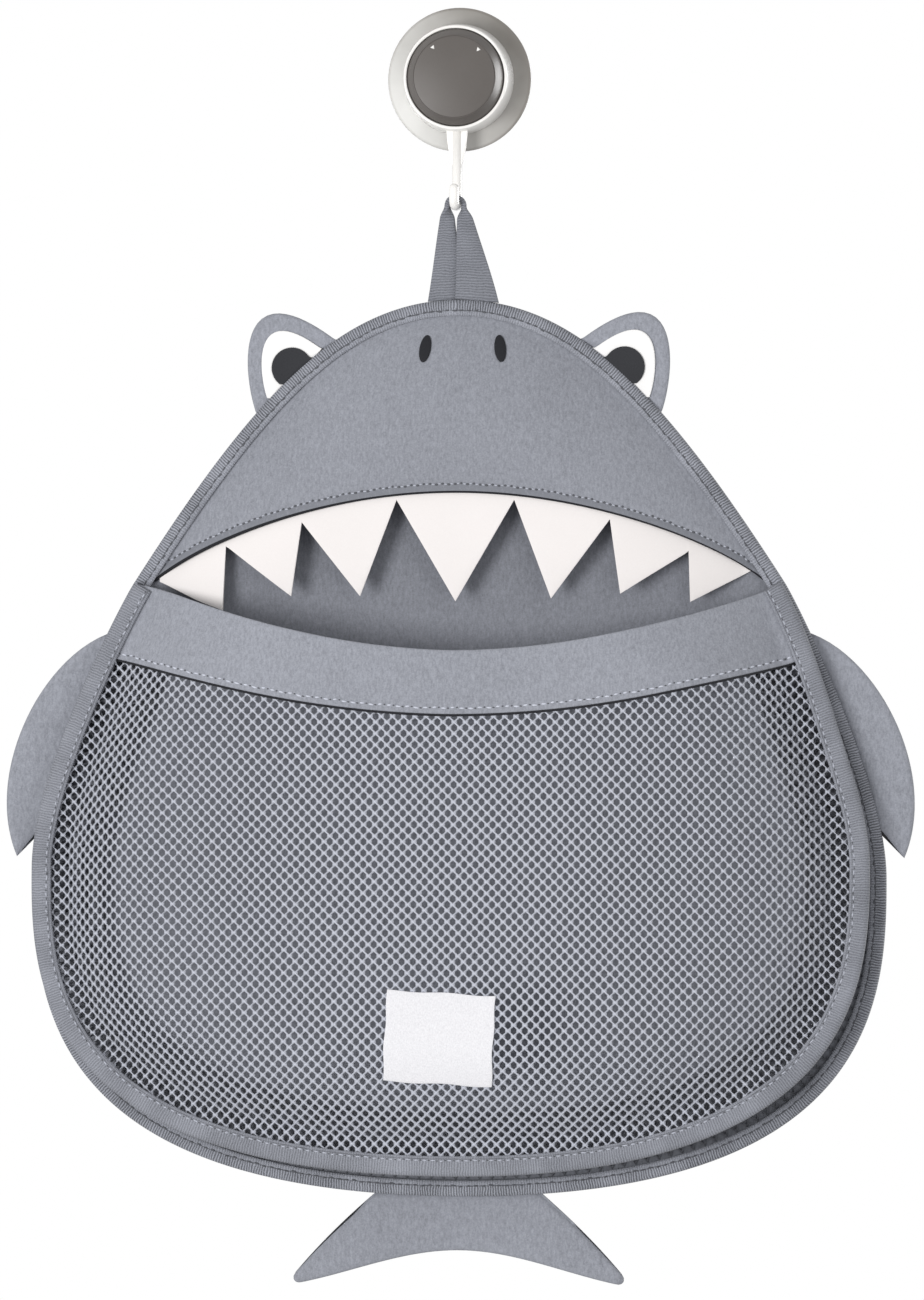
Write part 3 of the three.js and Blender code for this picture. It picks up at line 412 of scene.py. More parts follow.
def fibre_pattern():
    """Short matted fibres: felt and thread."""
    made = Pattern("matted_fibre", {"Fibres": 1500.0})
    fine = made.noise(made["Fibres"], 4.0, 0.65)
    cloud = made.noise(30.0)
    return made.give(Shade=fine * 0.55 + cloud * 0.45, Height=fine)


def yarn_pattern():
    """Round yarn of a net, with a painted highlight along the middle of each strand."""
    made = Pattern("net_strand", {"Strand": 0.5})
    fine = made.noise(2500.0, 3.0, 0.65)
    return made.give(Shade=made["Strand"] * 0.4 + fine * 0.5 + 0.15, Height=fine * 0.2 + made["Strand"])


def moulding_pattern():
    """Faint flow marks and fine texture of moulded plastic."""
    made = Pattern("moulded_skin", {"Grain": 900.0, "Dullness": 0.16})
    flow = made.noise(60.0, 3.0)
    grain = made.noise(made["Grain"])
    dull = flow * 0.12 + made["Dullness"] + grain * 0.06
    return made.give(Shade=grain * 0.3 + flow * 0.7, Height=grain, Roughness=dull)


def clear_pattern():
    """Clear rubber with faint flow marks, darker at the rim, and with painted shade that makes it paler
    towards one side.
    """
    made = Pattern("clear_skin", {"Reach": 31.0 * MM})
    x, _, z = made.split()
    flow = made.noise(45.0, 3.0)
    shade_slant = (z * 0.45 + x) / made["Reach"]
    radius = (x * x + z * z).math("SQRT") / made["Reach"]
    rim = (radius * 33.0 - 31.6).clamped()
    return made.give(Shade=flow * 0.5 + 0.2 - shade_slant * 0.48 - rim * 0.25, Height=flow)


KNIT = knit_pattern()
RIBS = rib_pattern()
FIBRE = fibre_pattern()
YARN = yarn_pattern()
MOULDING = moulding_pattern()
CLEAR = clear_pattern()


def material(name, tree, dark, light, settings, relief, shader):
    """A Principled material whose colour runs from dark to light with the pattern's shade.

    A setting that is a string names a vertex attribute. Ribs follow the cloth's UV map, and other patterns
    the object's own space.
    """
    made = bpy.data.materials.new(name)
    made.use_nodes = True
    link = made.node_tree.links.new
    make = made.node_tree.nodes.new
    principled = made.node_tree.nodes["Principled BSDF"].inputs
    pattern = make("ShaderNodeGroup")
    pattern.node_tree = tree
    if tree == RIBS:
        uv = make("ShaderNodeUVMap")
        uv.uv_map = "cloth"
        link(uv.outputs["UV"], pattern.inputs["Vector"])
    else:
        link(make("ShaderNodeTexCoord").outputs["Object"], pattern.inputs["Vector"])
    for label, value in settings.items():
        if isinstance(value, str):
            attribute = make("ShaderNodeAttribute")
            attribute.attribute_name = value
            link(attribute.outputs["Fac"], pattern.inputs[label])
        else:
            pattern.inputs[label].default_value = value
    ramp = make("ShaderNodeMix")
    ramp.data_type = "RGBA"
    ramp.inputs["A"].default_value = (*dark, 1)
    ramp.inputs["B"].default_value = (*light, 1)
    link(pattern.outputs["Shade"], ramp.inputs["Factor"])
    link(ramp.outputs["Result"], principled["Base Color"])
    bump = make("ShaderNodeBump")
    bump.inputs["Strength"].default_value = 1.0
    bump.inputs["Distance"].default_value = relief * MM
    link(pattern.outputs["Height"], bump.inputs["Height"])
    link(bump.outputs["Normal"], principled["Normal"])
    if "Roughness" in pattern.outputs:
        link(pattern.outputs["Roughness"], principled["Roughness"])
    for label, value in shader.items():
        principled[label].default_value = value
    return made


COOL = (0.93, 0.965, 1.09)


def cool(value):
    return tuple(value * tint for tint in COOL)


def matt(roughness, specular, sheen=0.0):
    return {"Roughness": roughness, "Specular IOR Level": specular, "Sheen Weight": sheen}


CLOTH = matt(0.9, 0.25, 0.12)
FELT = matt(0.95, 0.2, 0.1)
THREAD = {"Fibres": 3000.0}
STRAND = {"Strand": "strand"}
WEAVE = {"Ribs": 2400.0, "Streak": 500.0}
DULL = {"Specular IOR Level": 0.4}
RUBBER = {"Transmission Weight": 0.06, "IOR": 1.45, "Roughness": 0.32}
# Pattern, darkest and lightest colour, settings, relief in millimetres, shader
LOOKS = {
    "grey_jersey": (KNIT, cool(0.24), cool(0.4), {}, 0.12, CLOTH),
    # Darker copy of the grey jersey: painted shade on the head and the tail.
    "head_jersey": (KNIT, cool(0.225), cool(0.37), {"Hem": "hem"}, 0.12, CLOTH),
    # Darker copy of the jersey: painted shade on the back panel inside the mouth and behind the net.
    "back_jersey": (KNIT, cool(0.185), cool(0.3), {"Streak": 110.0}, 0.12, CLOTH),
    "edge_tape": (RIBS, cool(0.08), cool(0.45), {}, 0.2, CLOTH),
    "pocket_tape": (RIBS, cool(0.12), cool(0.4), {"Groove": 1.1 * MM, "Rib Weight": 0.4}, 0.15, CLOTH),
    "loop_tape": (RIBS, cool(0.12), cool(0.33), {"Groove": -1.0, "Rib Weight": 0.5}, 0.15, CLOTH),
    "white_felt": (FIBRE, (0.87, 0.86, 0.855), (0.97, 0.96, 0.955), {}, 0.06, FELT),
    "tooth_felt": (FIBRE, (0.8, 0.76, 0.745), (0.9, 0.862, 0.85), {}, 0.06, FELT),
    "black_felt": (FIBRE, (0.024, 0.025, 0.028), (0.05, 0.051, 0.057), {}, 0.1, FELT),
    "black_thread": (FIBRE, (0.006, 0.006, 0.008), (0.026, 0.027, 0.032), {}, 0.1, matt(0.75, 0.22)),
    "grey_thread": (FIBRE, cool(0.46), cool(0.78), THREAD, 0.05, matt(0.6, 0.4)),
    "dull_thread": (FIBRE, cool(0.38), cool(0.62), THREAD, 0.05, matt(0.7, 0.3)),
    "dark_thread": (FIBRE, cool(0.05), cool(0.14), THREAD, 0.05, matt(0.6, 0.4)),
    "net_yarn": (YARN, cool(0.22), cool(0.76), STRAND, 0.25, matt(0.75, 0.35, 0.1)),
    # Dark copy of the net yarn: painted shade on the gusset inside the pocket.
    "gusset_yarn": (YARN, cool(0.06), cool(0.24), STRAND, 0.25, matt(0.8, 0.3, 0.1)),
    "white_weave": (KNIT, (0.68, 0.675, 0.7), (0.86, 0.855, 0.88), WEAVE, 0.06, matt(0.8, 0.3)),
    "white_plastic": (MOULDING, (0.9, 0.88, 0.85), (0.96, 0.945, 0.92), {}, 0.004, {}),
    "dark_plastic": (MOULDING, (0.09, 0.08, 0.073), (0.118, 0.106, 0.098), {"Dullness": 0.32}, 0.004, DULL),
    "inner_plastic": (MOULDING, (0.8, 0.8, 0.78), (0.88, 0.88, 0.86), {}, 0.01, {}),
    "pin_steel": (MOULDING, (0.5, 0.5, 0.5), (0.62, 0.62, 0.62), {"Grain": 2500.0}, 0.004, {"Metallic": 1.0}),
    # The cup's colours run with painted shade, paler towards one side.
    "clear_rubber": (CLEAR, (0.26, 0.242, 0.22), (0.78, 0.775, 0.752), {}, 0.02, RUBBER),
    "floor_pale": (FIBRE, (0.8, 0.8, 0.8), (0.84, 0.84, 0.84), {"Fibres": 40.0}, 0.01, {"Roughness": 0.9}),
}
looks = {name: material(name, *values) for name, values in LOOKS.items()}

# Making pieces
SAME_SPOT = 1e-6
face_area = {}


def steps_at(u, count):
    """Whole steps out of count at shares u."""
    return np.rint(u * count).astype(int)


def spots_of(verts):
    return np.array([vert.co for vert in verts])


def move_to(bm, spots):
    for vert, spot in zip(bm.verts, spots):
        vert.co = spot


def cloth_grid(columns, rows, place, length=1.0, girth=None):
    """A grid of quads whose corners place() puts in space. Its UV map is in metres along length and girth."""
    bm = bmesh.new()
    uv = bm.loops.layers.uv.new("cloth")
    bmesh.ops.create_grid(bm, x_segments=columns, y_segments=rows, size=0.5)
    spots = spots_of(bm.verts) + 0.5
    for face in bm.faces:
        for loop in face.loops:
            across = loop.vert.co.y + 0.5
            if girth is not None:
                across = girth[round(across * rows)]
            loop[uv].uv = ((loop.vert.co.x + 0.5) * length, across)
    move_to(bm, place(spots[:, 0], spots[:, 1]))
    bmesh.ops.remove_doubles(bm, verts=bm.verts, dist=SAME_SPOT)
    return bm


def face_out(bm):
    bmesh.ops.recalc_face_normals(bm, faces=bm.faces)
    return bm


def fill_ends(bm):
    bmesh.ops.holes_fill(bm, edges=[edge for edge in bm.edges if edge.is_boundary], sides=0)
    return bm


def closed(bm):
    return face_out(fill_ends(bm))


def mesh_of(name, bm):
    mesh = bpy.data.meshes.new(name)
    bm.to_mesh(mesh)
    bm.free()
    return mesh


def add_object(name, data):
    made = bpy.data.objects.new(name, data)
    scene.collection.objects.link(made)
    return made


def piece(name, bm, look, body=None, stands_for=()):
    face_area[name] = sum(face.calc_area() for face in bm.faces)
    mesh = mesh_of(name, bm)
    mesh.polygons.foreach_set("use_smooth", [True] * len(mesh.polygons))
    mesh.materials.append(looks[look])
    made = add_object(name, mesh)
    if body:
        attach(made, body)
    if stands_for:
        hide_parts(*stands_for)
    return made


def round_edges(made, width, segments=2, angle=50.0):
    soft = made.modifiers.new("soft_edges", "BEVEL")
    soft.width = width
    soft.segments = segments
    soft.limit_method = "ANGLE"
    soft.angle_limit = math.radians(angle)


def thicken(made, thickness, offset=-1.0, bevel=0.0):
    solid = made.modifiers.new("thickness", "SOLIDIFY")
    solid.thickness = thickness
    solid.offset = offset
    if bevel:
        round_edges(made, bevel)


# Back panel: padded sheet inside the edge tape
PANEL_INSET = 1.9 * MM
BACK_GRID = (60, 60)
panel_right = inset(body_loop, PANEL_INSET, True)[: len(right_side)]
turning = int(np.argmax(panel_right[:, 0]))
panel_high = panel_right[: turning + 1]
panel_low = panel_right[turning:]


def back_place(u, v):
    x = -panel_right[turning, 0] * np.cos(math.pi * u)
    high = height_on(panel_high, np.abs(x))
    low = height_on(panel_low, np.abs(x))
    return on_bag(x, np.full_like(x, BACK_DEPTH + BACK_THICK), low + (high - low) * v)


back_bm = cloth_grid(*BACK_GRID, back_place)
back = piece("back_panel_cloth", back_bm, "back_jersey", "bag", ["back_panel"])
thicken(back, BACK_THICK)

# Head panel with the lip as its free edge
LIP_RISE = 39.3 * MM
LIP_X = MOUTH_X - EDGE_TAPE
LIP_TOP = MOUTH_Z + LIP_RISE
LIP_CHEEK = 0.87
LIP_CHEEK_RISE = 0.41
LIP_FLAT = 0.45
LIP_STITCH = 3.0 * MM
LIP_GROOVE = 0.5 * MM
LIP_GROOVE_HALF = 1.3 * MM
HEM_SHADE_FADE = 0.6 * MM
HEAD_CROWDING = 1.4
HEAD_BEVEL = 0.5 * MM
HEAD_GRID = (120, 60)
lip_right = bezier(
    (LIP_X, MOUTH_Z),
    (LIP_CHEEK * LIP_X, MOUTH_Z + LIP_CHEEK_RISE * LIP_RISE),
    (LIP_FLAT * LIP_X, LIP_TOP),
    (0, LIP_TOP),
    steps=40,
)
head_end = panel_right[np.searchsorted(-panel_right[:, 1], -MOUTH_Z), 0] - TAPE_THICK


def lip_z(x):
    return np.where(np.abs(x) < LIP_X, height_on(lip_right, np.abs(x)), MOUTH_Z)


def head_front(x, z):
    """Depth of the head's face: puffed, with a sewn groove above the lip."""
    sewn = groove(z - lip_z(x) - LIP_STITCH, LIP_GROOVE_HALF, LIP_GROOVE)
    return HEAD_DEPTH + HEAD_THICK + head_puff(x, z) - sewn


def head_place(u, v):
    x = -head_end * np.cos(math.pi * u)
    high = height_on(panel_high, np.abs(x))
    low = lip_z(x)
    z = low + (high - low) * v**HEAD_CROWDING
    return on_bag(x, head_front(x, z), z)


head_bm = cloth_grid(*HEAD_GRID, head_place)
head = piece("head_cloth", head_bm, "head_jersey", "bag", ["head_panel"])
head_spots = spots_of(head.data.vertices)
head_rise = head_spots[:, 2] - lip_z(head_spots[:, 0])
# Painted shade on the band between the lip and its stitch row, kept in a vertex attribute.
hem = np.interp(head_rise, [LIP_STITCH - HEM_SHADE_FADE, LIP_STITCH + HEM_SHADE_FADE], [1, 0])
head.data.attributes.new("hem", "FLOAT", "POINT").data.foreach_set("value", hem)
thicken(head, HEAD_THICK, bevel=HEAD_BEVEL)
2 * head_end

# Folded tapes
TAPE_CROWN = 0.3 * MM
TAPE_POINTS = 6
FOLD_POINTS = 7
FOLD_INSIDE = 1.6 * TAPE_THICK
POCKET_TAPE_DEPTH = 5.1 * MM


def tape_section(width, back, front):
    """Closed section of a folded tape: (distance from the fold, depth), from the front layer's free edge."""
    across = np.linspace(1, 0, TAPE_POINTS)[:-1]
    reach = TAPE_THICK + (width - TAPE_THICK) * across
    front_face = pairs(reach, front + TAPE_CROWN * np.sin(math.pi * across))
    angle = np.linspace(0.5, 1.5, FOLD_POINTS)[1:-1] * math.pi
    fold_depth = (front + back) / 2 + (front - back) / 2 * np.sin(angle)
    fold = pairs(TAPE_THICK + TAPE_THICK * np.cos(angle), fold_depth)
    back_face = pairs(reach[::-1], np.full_like(reach, back))
    inner_back, inner_front = back + TAPE_THICK, front - TAPE_THICK
    inner = np.array([
        [width, inner_back], [FOLD_INSIDE, inner_back], [FOLD_INSIDE, inner_front], [width, inner_front],
    ])
    return ring(np.concatenate([front_face, fold, back_face, inner]))


def tape_grid(line, section, place, loop):
    ends = ring(line) if loop else line
    normals = inward(line, loop)
    normals = ring(normals) if loop else normals
    stations = len(ends) - 1
    turns = len(section) - 1

    def put(u, v):
        i = steps_at(u, stations)
        j = steps_at(v, turns)
        spot = ends[i] + normals[i] * section[j, :1]
        return place(spot[:, 0], section[j, 1], spot[:, 1])

    return cloth_grid(stations, turns, put, lengths(line)[-1], lengths(section))


edge_bm = tape_grid(body_loop, tape_section(EDGE_TAPE, EDGE_BACK, EDGE_FRONT), on_bag, True)
edge_tape = piece("edge_tape", edge_bm, "edge_tape", "bag", ["edge_binding"])
pocket_section = tape_section(POCKET_TAPE, 0, POCKET_TAPE_DEPTH)
pocket_bm = fill_ends(tape_grid(pocket_line, pocket_section, on_pocket, False))
pocket_tape = piece("pocket_tape", pocket_bm, "pocket_tape", "pocket", ["front_binding"])

# Teeth: one felt strip behind the lip, with its teeth unequal on the left and the right
TEETH_HALF = 126.5 * MM
LEFT_TEETH = 129.5 * MM
TOOTH_REACH = 45.2 * MM
TOOTH_MIDDLE = 2.2 * MM
TOOTH_ROOT = 2.5 * MM
TOOTH_LAST = 2.5 * MM
STRIP_TUCK = 8.0 * MM
TEETH_DEPTH = HEAD_DEPTH - 0.6 * MM
TEETH_THICK = 1.2 * MM
TEETH_BEVEL = 0.25 * MM
TEETH_ROWS = 8
TEETH_COLUMNS = 60
CLEAR_OF_BACK = BACK_DEPTH + BACK_THICK + 1.4 * MM
CLOSE_COLUMNS = 0.02 * MM
tooth_tips = np.array([0, 41.2, 71.0, 101.0]) * MM
tooth_notches = np.array([25.4, 66.5, 100.0]) * MM
left_drop_x = np.array([41.2, 66.5, 71.0, 99.9, 101.0, 111.7, 126.5, 129.5]) * MM
left_drop = np.array([0, 2.0, 0, 1.0, 3.4, 5.2, 5.9, 4.6]) * MM
right_drop_x = np.array([25.4, 41.2, 66.5, 71.0, 99.9, 101.0]) * MM
right_drop = np.array([0, 1.0, 1.0, -1.0, 3.7, 0]) * MM
notch_z = lip_z(tooth_notches) - TOOTH_ROOT
tip_z = LIP_TOP - TOOTH_REACH - np.array([0, 0, TOOTH_LAST])
teeth_x = np.concatenate([[0], pairs(tooth_notches, tooth_tips[1:]).ravel(), [TEETH_HALF]])
teeth_z = np.concatenate([
    [LIP_TOP - TOOTH_REACH - TOOTH_MIDDLE],
    pairs(notch_z, tip_z).ravel(),
    lip_z(np.array([TEETH_HALF])) - TOOTH_ROOT / 4,
])
fine = np.unique(np.concatenate([teeth_x, np.linspace(0, TEETH_HALF, TEETH_COLUMNS)]))
fine = fine[np.concatenate([[True], np.diff(fine) > CLOSE_COLUMNS])]
left_fine = np.interp(fine, [0, tooth_tips[-1], TEETH_HALF], [0, tooth_tips[-1], LEFT_TEETH])
teeth_columns = np.concatenate([-left_fine[:0:-1], fine])


def teeth_place(u, v):
    x = teeth_columns[steps_at(u, len(teeth_columns) - 1)]
    low = np.interp(np.abs(x), teeth_x, teeth_z)
    low = low - np.interp(-x, left_drop_x, left_drop) - np.interp(x, right_drop_x, right_drop)
    high = lip_z(x) + STRIP_TUCK * (1 - (x / TEETH_HALF) ** 2)
    z = low + (high - low) * v
    return on_bag(x, np.maximum(TEETH_DEPTH + head_puff(x, z), CLEAR_OF_BACK), z)


teeth_bm = cloth_grid(len(teeth_columns) - 1, TEETH_ROWS, teeth_place)
teeth = piece("felt_teeth", teeth_bm, "tooth_felt", "bag", ["teeth_strip"])
thicken(teeth, TEETH_THICK, bevel=TEETH_BEVEL)

# Collar on the pocket's upper edge
LAYER_MIDDLE = 2.55 * MM
MOUTH_LEVEL = -1.3 * MM
MOUTH_SAG = 30.3 * MM
COLLAR_HEIGHT = 32.0 * MM
COLLAR_SAG = 27.0 * MM
COLLAR_LEAN = 4.0 * MM
COLLAR_LEAN_LOW = 2.6 * MM
COLLAR_LIFT = 1.25 * MM
COLLAR_THICK = 1.6 * MM
COLLAR_BEVEL = 0.6 * MM
COLLAR_STITCH = 2.6 * MM
COLLAR_GROOVE = 0.4 * MM
COLLAR_GROOVE_HALF = 1.2 * MM
COLLAR_GRID = (140, 16)
LEAN_HOLD = 16
pocket_inner = inset(pocket_line, TAPE_THICK + SEAM_GAP)
inner_right = pocket_inner[: len(pocket_side)]
inner_left = pocket_inner[::-1][: len(pocket_side)]


def sag_line(level, sag, lean):
    """Arc between the pocket's sides at a height, hanging down by sag, with its left half lifted by lean."""
    share = np.linspace(-1, 1, 121)
    right = np.interp(-level, -inner_right[:, 1], inner_right[:, 0])
    left = -np.interp(-level, -inner_left[:, 1], inner_left[:, 0])
    end = np.where(share < 0, left, right)
    radius = (end**2 + sag**2) / (2 * sag)
    angle = share * np.arcsin(end / radius)
    lift = lean * np.clip(-share, 0, 1) * (1 - share**LEAN_HOLD)
    return pairs(radius * np.sin(angle), level - sag + radius * (1 - np.cos(angle)) + lift)


collar_top = sag_line(MOUTH_LEVEL, MOUTH_SAG, COLLAR_LEAN)
collar_low = sag_line(-COLLAR_HEIGHT, COLLAR_SAG, COLLAR_LEAN_LOW)


def collar_front(x, z):
    sewn = groove(z - height_on(collar_low, x) - COLLAR_STITCH, COLLAR_GROOVE_HALF, COLLAR_GROOVE)
    return LAYER_MIDDLE + COLLAR_LIFT + pocket_puff(x, z) - sewn


def collar_place(u, v):
    low = pick(collar_low, u)
    spot = low + (pick(collar_top, u) - low) * v[:, None]
    return on_pocket(spot[:, 0], collar_front(spot[:, 0], spot[:, 1]), spot[:, 1])


collar_bm = cloth_grid(*COLLAR_GRID, collar_place)
collar = piece("collar_cloth", collar_bm, "grey_jersey", "pocket", ["mouth_collar"])
thicken(collar, COLLAR_THICK, bevel=COLLAR_BEVEL)

# Net: staggered gaps between diagonal strands, drawn together where the pocket turns towards its sides
CELL_X = 2.405 * MM
CELL_Z = 2.435 * MM
GAP_HALF = 1.2 * MM
GAP_TALL = 1.74 * MM
GAP_SHOULDER = 0.72 * MM
NET_THICK = 0.8 * MM
NET_DRAW = 0.35
NET_RIM = 0.02
NET_COLUMNS, NET_ROWS = 84, 56
NET_MIDDLE = -150.0 * MM
NET_MARGIN = 2.5 * MM
NET_TUCK = 7.0 * MM
NET_SINK = 0.1 * MM
WIDER_GAPS = 0.1
WIDER_FROM = 40.0 * MM
WIDER_REACH = 120.0 * MM
ON_STRAND = 0.95
JOIN_CELLS = 0.05 * MM
PROBE = 0.2 * MM


def net_cell():
    """Two diamonds of net, each round a six-sided gap. The strand value is 1 along the middle of the yarn."""
    bm = bmesh.new()
    strand = bm.verts.layers.float.new("strand")
    rim = [(CELL_X, 0), (0, CELL_Z), (-CELL_X, 0), (0, -CELL_Z)]
    gap = [
        (GAP_HALF, GAP_SHOULDER), (0, GAP_TALL), (-GAP_HALF, GAP_SHOULDER),
        (-GAP_HALF, -GAP_SHOULDER), (0, -GAP_TALL), (GAP_HALF, -GAP_SHOULDER),
    ]
    right, top, left, low = (bm.verts.new((x, 0, z)) for x, z in rim)
    a, b, c, d, e, f = (bm.verts.new((x, 0, z)) for x, z in gap)
    for corner in (right, top, left, low):
        corner[strand] = 1.0
    for corners in [
        (right, a, f), (right, top, b, a), (top, left, c, b),
        (left, d, c), (left, low, e, d), (low, right, f, e),
    ]:
        bm.faces.new(corners)
    copied = bmesh.ops.duplicate(bm, geom=bm.verts[:] + bm.edges[:] + bm.faces[:])["geom"]
    verts = [made for made in copied if isinstance(made, bmesh.types.BMVert)]
    bmesh.ops.translate(bm, verts=verts, vec=(CELL_X, 0, CELL_Z))
    return face_out(bm)


def net_field(columns, rows):
    """A flat field of net from repeated cells, centred on the origin."""
    holder = add_object("net_field", mesh_of("net_field", net_cell()))
    for count, step in ((columns, (2 * CELL_X, 0, 0)), (rows, (0, 0, 2 * CELL_Z))):
        array = holder.modifiers.new("repeat", "ARRAY")
        array.count = count
        array.use_relative_offset = False
        array.use_constant_offset = True
        array.constant_offset_displace = step
        array.use_merge_vertices = True
        array.merge_threshold = JOIN_CELLS
    made = bpy.data.meshes.new_from_object(holder.evaluated_get(bpy.context.evaluated_depsgraph_get()))
    bpy.data.objects.remove(holder)
    bm = bmesh.new()
    bm.from_mesh(made)
    bpy.data.meshes.remove(made)
    bmesh.ops.translate(bm, verts=bm.verts, vec=(-(columns - 1) * CELL_X, 0, -(rows - 1) * CELL_Z))
    return bm


def opened(spots, low_x, low_z):
    """Points of the flat net with wider gaps towards the sides, where the knit is pulled most."""
    sideways = (spots[:, 0] - low_x) / CELL_X
    up = (spots[:, 2] - low_z) / CELL_Z
    a = np.rint((sideways + up) / 2)
    b = np.rint((sideways - up) / 2)
    middle_x = low_x + (a + b) * CELL_X
    middle_z = low_z + (a - b) * CELL_Z
    off = np.abs(spots[:, 0] - middle_x) / CELL_X + np.abs(spots[:, 2] - middle_z) / CELL_Z
    wider = 1 + WIDER_GAPS * np.clip((np.abs(middle_x) - WIDER_FROM) / WIDER_REACH, 0, 1)
    wider = np.where(off < ON_STRAND, wider, 1)
    made = spots.copy()
    made[:, 0] = middle_x + (spots[:, 0] - middle_x) * wider
    made[:, 2] = middle_z + (spots[:, 2] - middle_z) * wider
    return made


# Length along the stretched face against length in the plane, from the tape's edge inwards
puff_steps = np.linspace(0, POCKET_MARGIN + POCKET_REACH, 400)
puff_slope = np.gradient(rise(puff_steps - POCKET_MARGIN, POCKET_REACH, POCKET_PUFF), puff_steps)
face_steps = np.concatenate([[0], np.cumsum(np.hypot(1, puff_slope[1:]) * np.diff(puff_steps))])
face_steps = puff_steps + NET_DRAW * (face_steps - puff_steps)
SPARE = face_steps[-1] - puff_steps[-1]
wide_line = inset(pocket_line, -SPARE)


def drawn_in(x, z):
    """Where a point of the flat net comes to lie once the net is puffed."""
    flat_in = distance_to(wide_line, x, z)
    grad_x = (distance_to(wide_line, x + PROBE, z) - flat_in) / PROBE
    grad_z = (distance_to(wide_line, x, z + PROBE) - flat_in) / PROBE
    size = np.maximum(np.hypot(grad_x, grad_z), 1e-6)
    plane_in = np.where(flat_in < face_steps[-1], np.interp(flat_in, face_steps, puff_steps), flat_in - SPARE)
    move = np.maximum(plane_in - (flat_in - SPARE), 0)
    return x + grad_x / size * move, z + grad_z / size * move


field = net_field(NET_COLUMNS, NET_ROWS)
bmesh.ops.translate(field, verts=field.verts, vec=(0, 0, NET_MIDDLE))
flat_x, _, flat_z = spots_of(field.verts).T
kept = enclosed(wide_line, flat_x, flat_z) & (distance_to(wide_line, flat_x, flat_z) > NET_MARGIN)
kept &= flat_z < height_on(collar_low, flat_x) + NET_TUCK
field.verts.ensure_lookup_table()
bmesh.ops.delete(field, geom=[vert for vert, keep in zip(field.verts, kept) if not keep], context="VERTS")
flat_spots = opened(spots_of(field.verts), -(NET_COLUMNS - 1) * CELL_X, NET_MIDDLE - (NET_ROWS - 1) * CELL_Z)
net_x, net_z = drawn_in(flat_spots[:, 0], flat_spots[:, 2])
move_to(field, on_pocket(net_x, LAYER_MIDDLE - NET_SINK + pocket_puff(net_x, net_z), net_z))
front_net = piece("front_net", face_out(field), "net_yarn", "pocket", ["front_mesh"])
thicken(front_net, NET_THICK, 0.0)
face_area["front_net"] + NET_RIM

# Gusset: folded net wall between the back and the pocket's front
GUSSET_FOLD = 24.0 * MM
GUSSET_OPEN = 0.3
GUSSET_SEAM = 6.0 * MM
GUSSET_THICK = 0.6 * MM
GUSSET_COLUMNS, GUSSET_ROWS = 150, 9
lower_line = both_sides(lower_even)
gusset_inward = inward(lower_line)
gusset_back = inset(lower_line, EDGE_TAPE + SEAM_GAP)
gusset_front = inset(pocket_line, GUSSET_SEAM)


def gusset_place(u, v):
    back_spot = pick_even(gusset_back, u)
    front_spot = pick_even(gusset_front, u)
    way = pick_even(gusset_inward, u)
    near = on_bag(back_spot[:, 0], np.full_like(u, HEAD_DEPTH), back_spot[:, 1])
    far = on_pocket(front_spot[:, 0], np.full_like(u, -SEAM_GAP), front_spot[:, 1])
    deep = np.clip((near[:, 1] - far[:, 1]) / (POCKET_GAPE + EDGE_FRONT - HEAD_DEPTH), 0, 1)
    fold = GUSSET_FOLD * smooth_step(deep / GUSSET_OPEN) * np.sin(math.pi * v)
    spot = near + (far - near) * v[:, None]
    return spot + np.stack([way[:, 0] * fold, 0 * fold, way[:, 1] * fold], axis=1)


wall = net_field(GUSSET_COLUMNS, GUSSET_ROWS)
wall_x, _, wall_z = spots_of(wall.verts).T
move_to(wall, gusset_place(shares(wall_x), shares(wall_z)))
gusset = piece("gusset_net", face_out(wall), "gusset_yarn", None, ["gusset_mesh"])
thicken(gusset, GUSSET_THICK, 0.0)
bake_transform(gusset)

# Padded flaps in the edge seam
FLAP_THICK = 2.8 * MM
FLAP_SOFT = 2.2 * MM
FLAP_FILL = 0.3
FELT_FILL = 0.1
SEAM_TUCK = 1.0 * MM
FLAP_GRID = (40, 24)
outer_side = inset(body_loop, -SEAM_GAP, True)[: len(right_side)]


def edge_x(z):
    return np.interp(-z, -outer_side[:, 1], outer_side[:, 0])


def edge_points(top, bottom):
    z = np.linspace(top, bottom, 41)
    return pairs(edge_x(z), z)


def there_and_back(v):
    """From the seam to the free edge over the front face, and back over the rear one."""
    return np.sin((1 - np.abs(1 - 2 * v)) * math.pi / 2)


def cushion(spot, v, border, thick, soft):
    """Depth of a flap's front or rear face from its middle, rounded off towards its border."""
    near = np.clip(distance_to(border, spot[:, 0], spot[:, 1]) / soft, 0, 1)
    return np.where(v <= 0.5, 1, -1) * (thick / 2 * np.sqrt(near * (2 - near)))


def flap_grid(seam, edge, middle, thick, soft, side):
    """A flat cushion between the seam and the free edge."""
    border = np.concatenate([edge, seam[-1:]])

    def place(u, v):
        at = np.sin(u * math.pi / 2)
        start = pick(seam, at) - [SEAM_TUCK, 0]
        spot = start + (pick(edge, at) - start) * there_and_back(v)[:, None]
        return on_bag(side * spot[:, 0], middle + cushion(spot, v, border, thick, soft), spot[:, 1])

    return closed(cloth_grid(*FLAP_GRID, place))


def bend_from_seam(flap):
    """Bakes the flap's placement into its mesh."""
    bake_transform(flap)


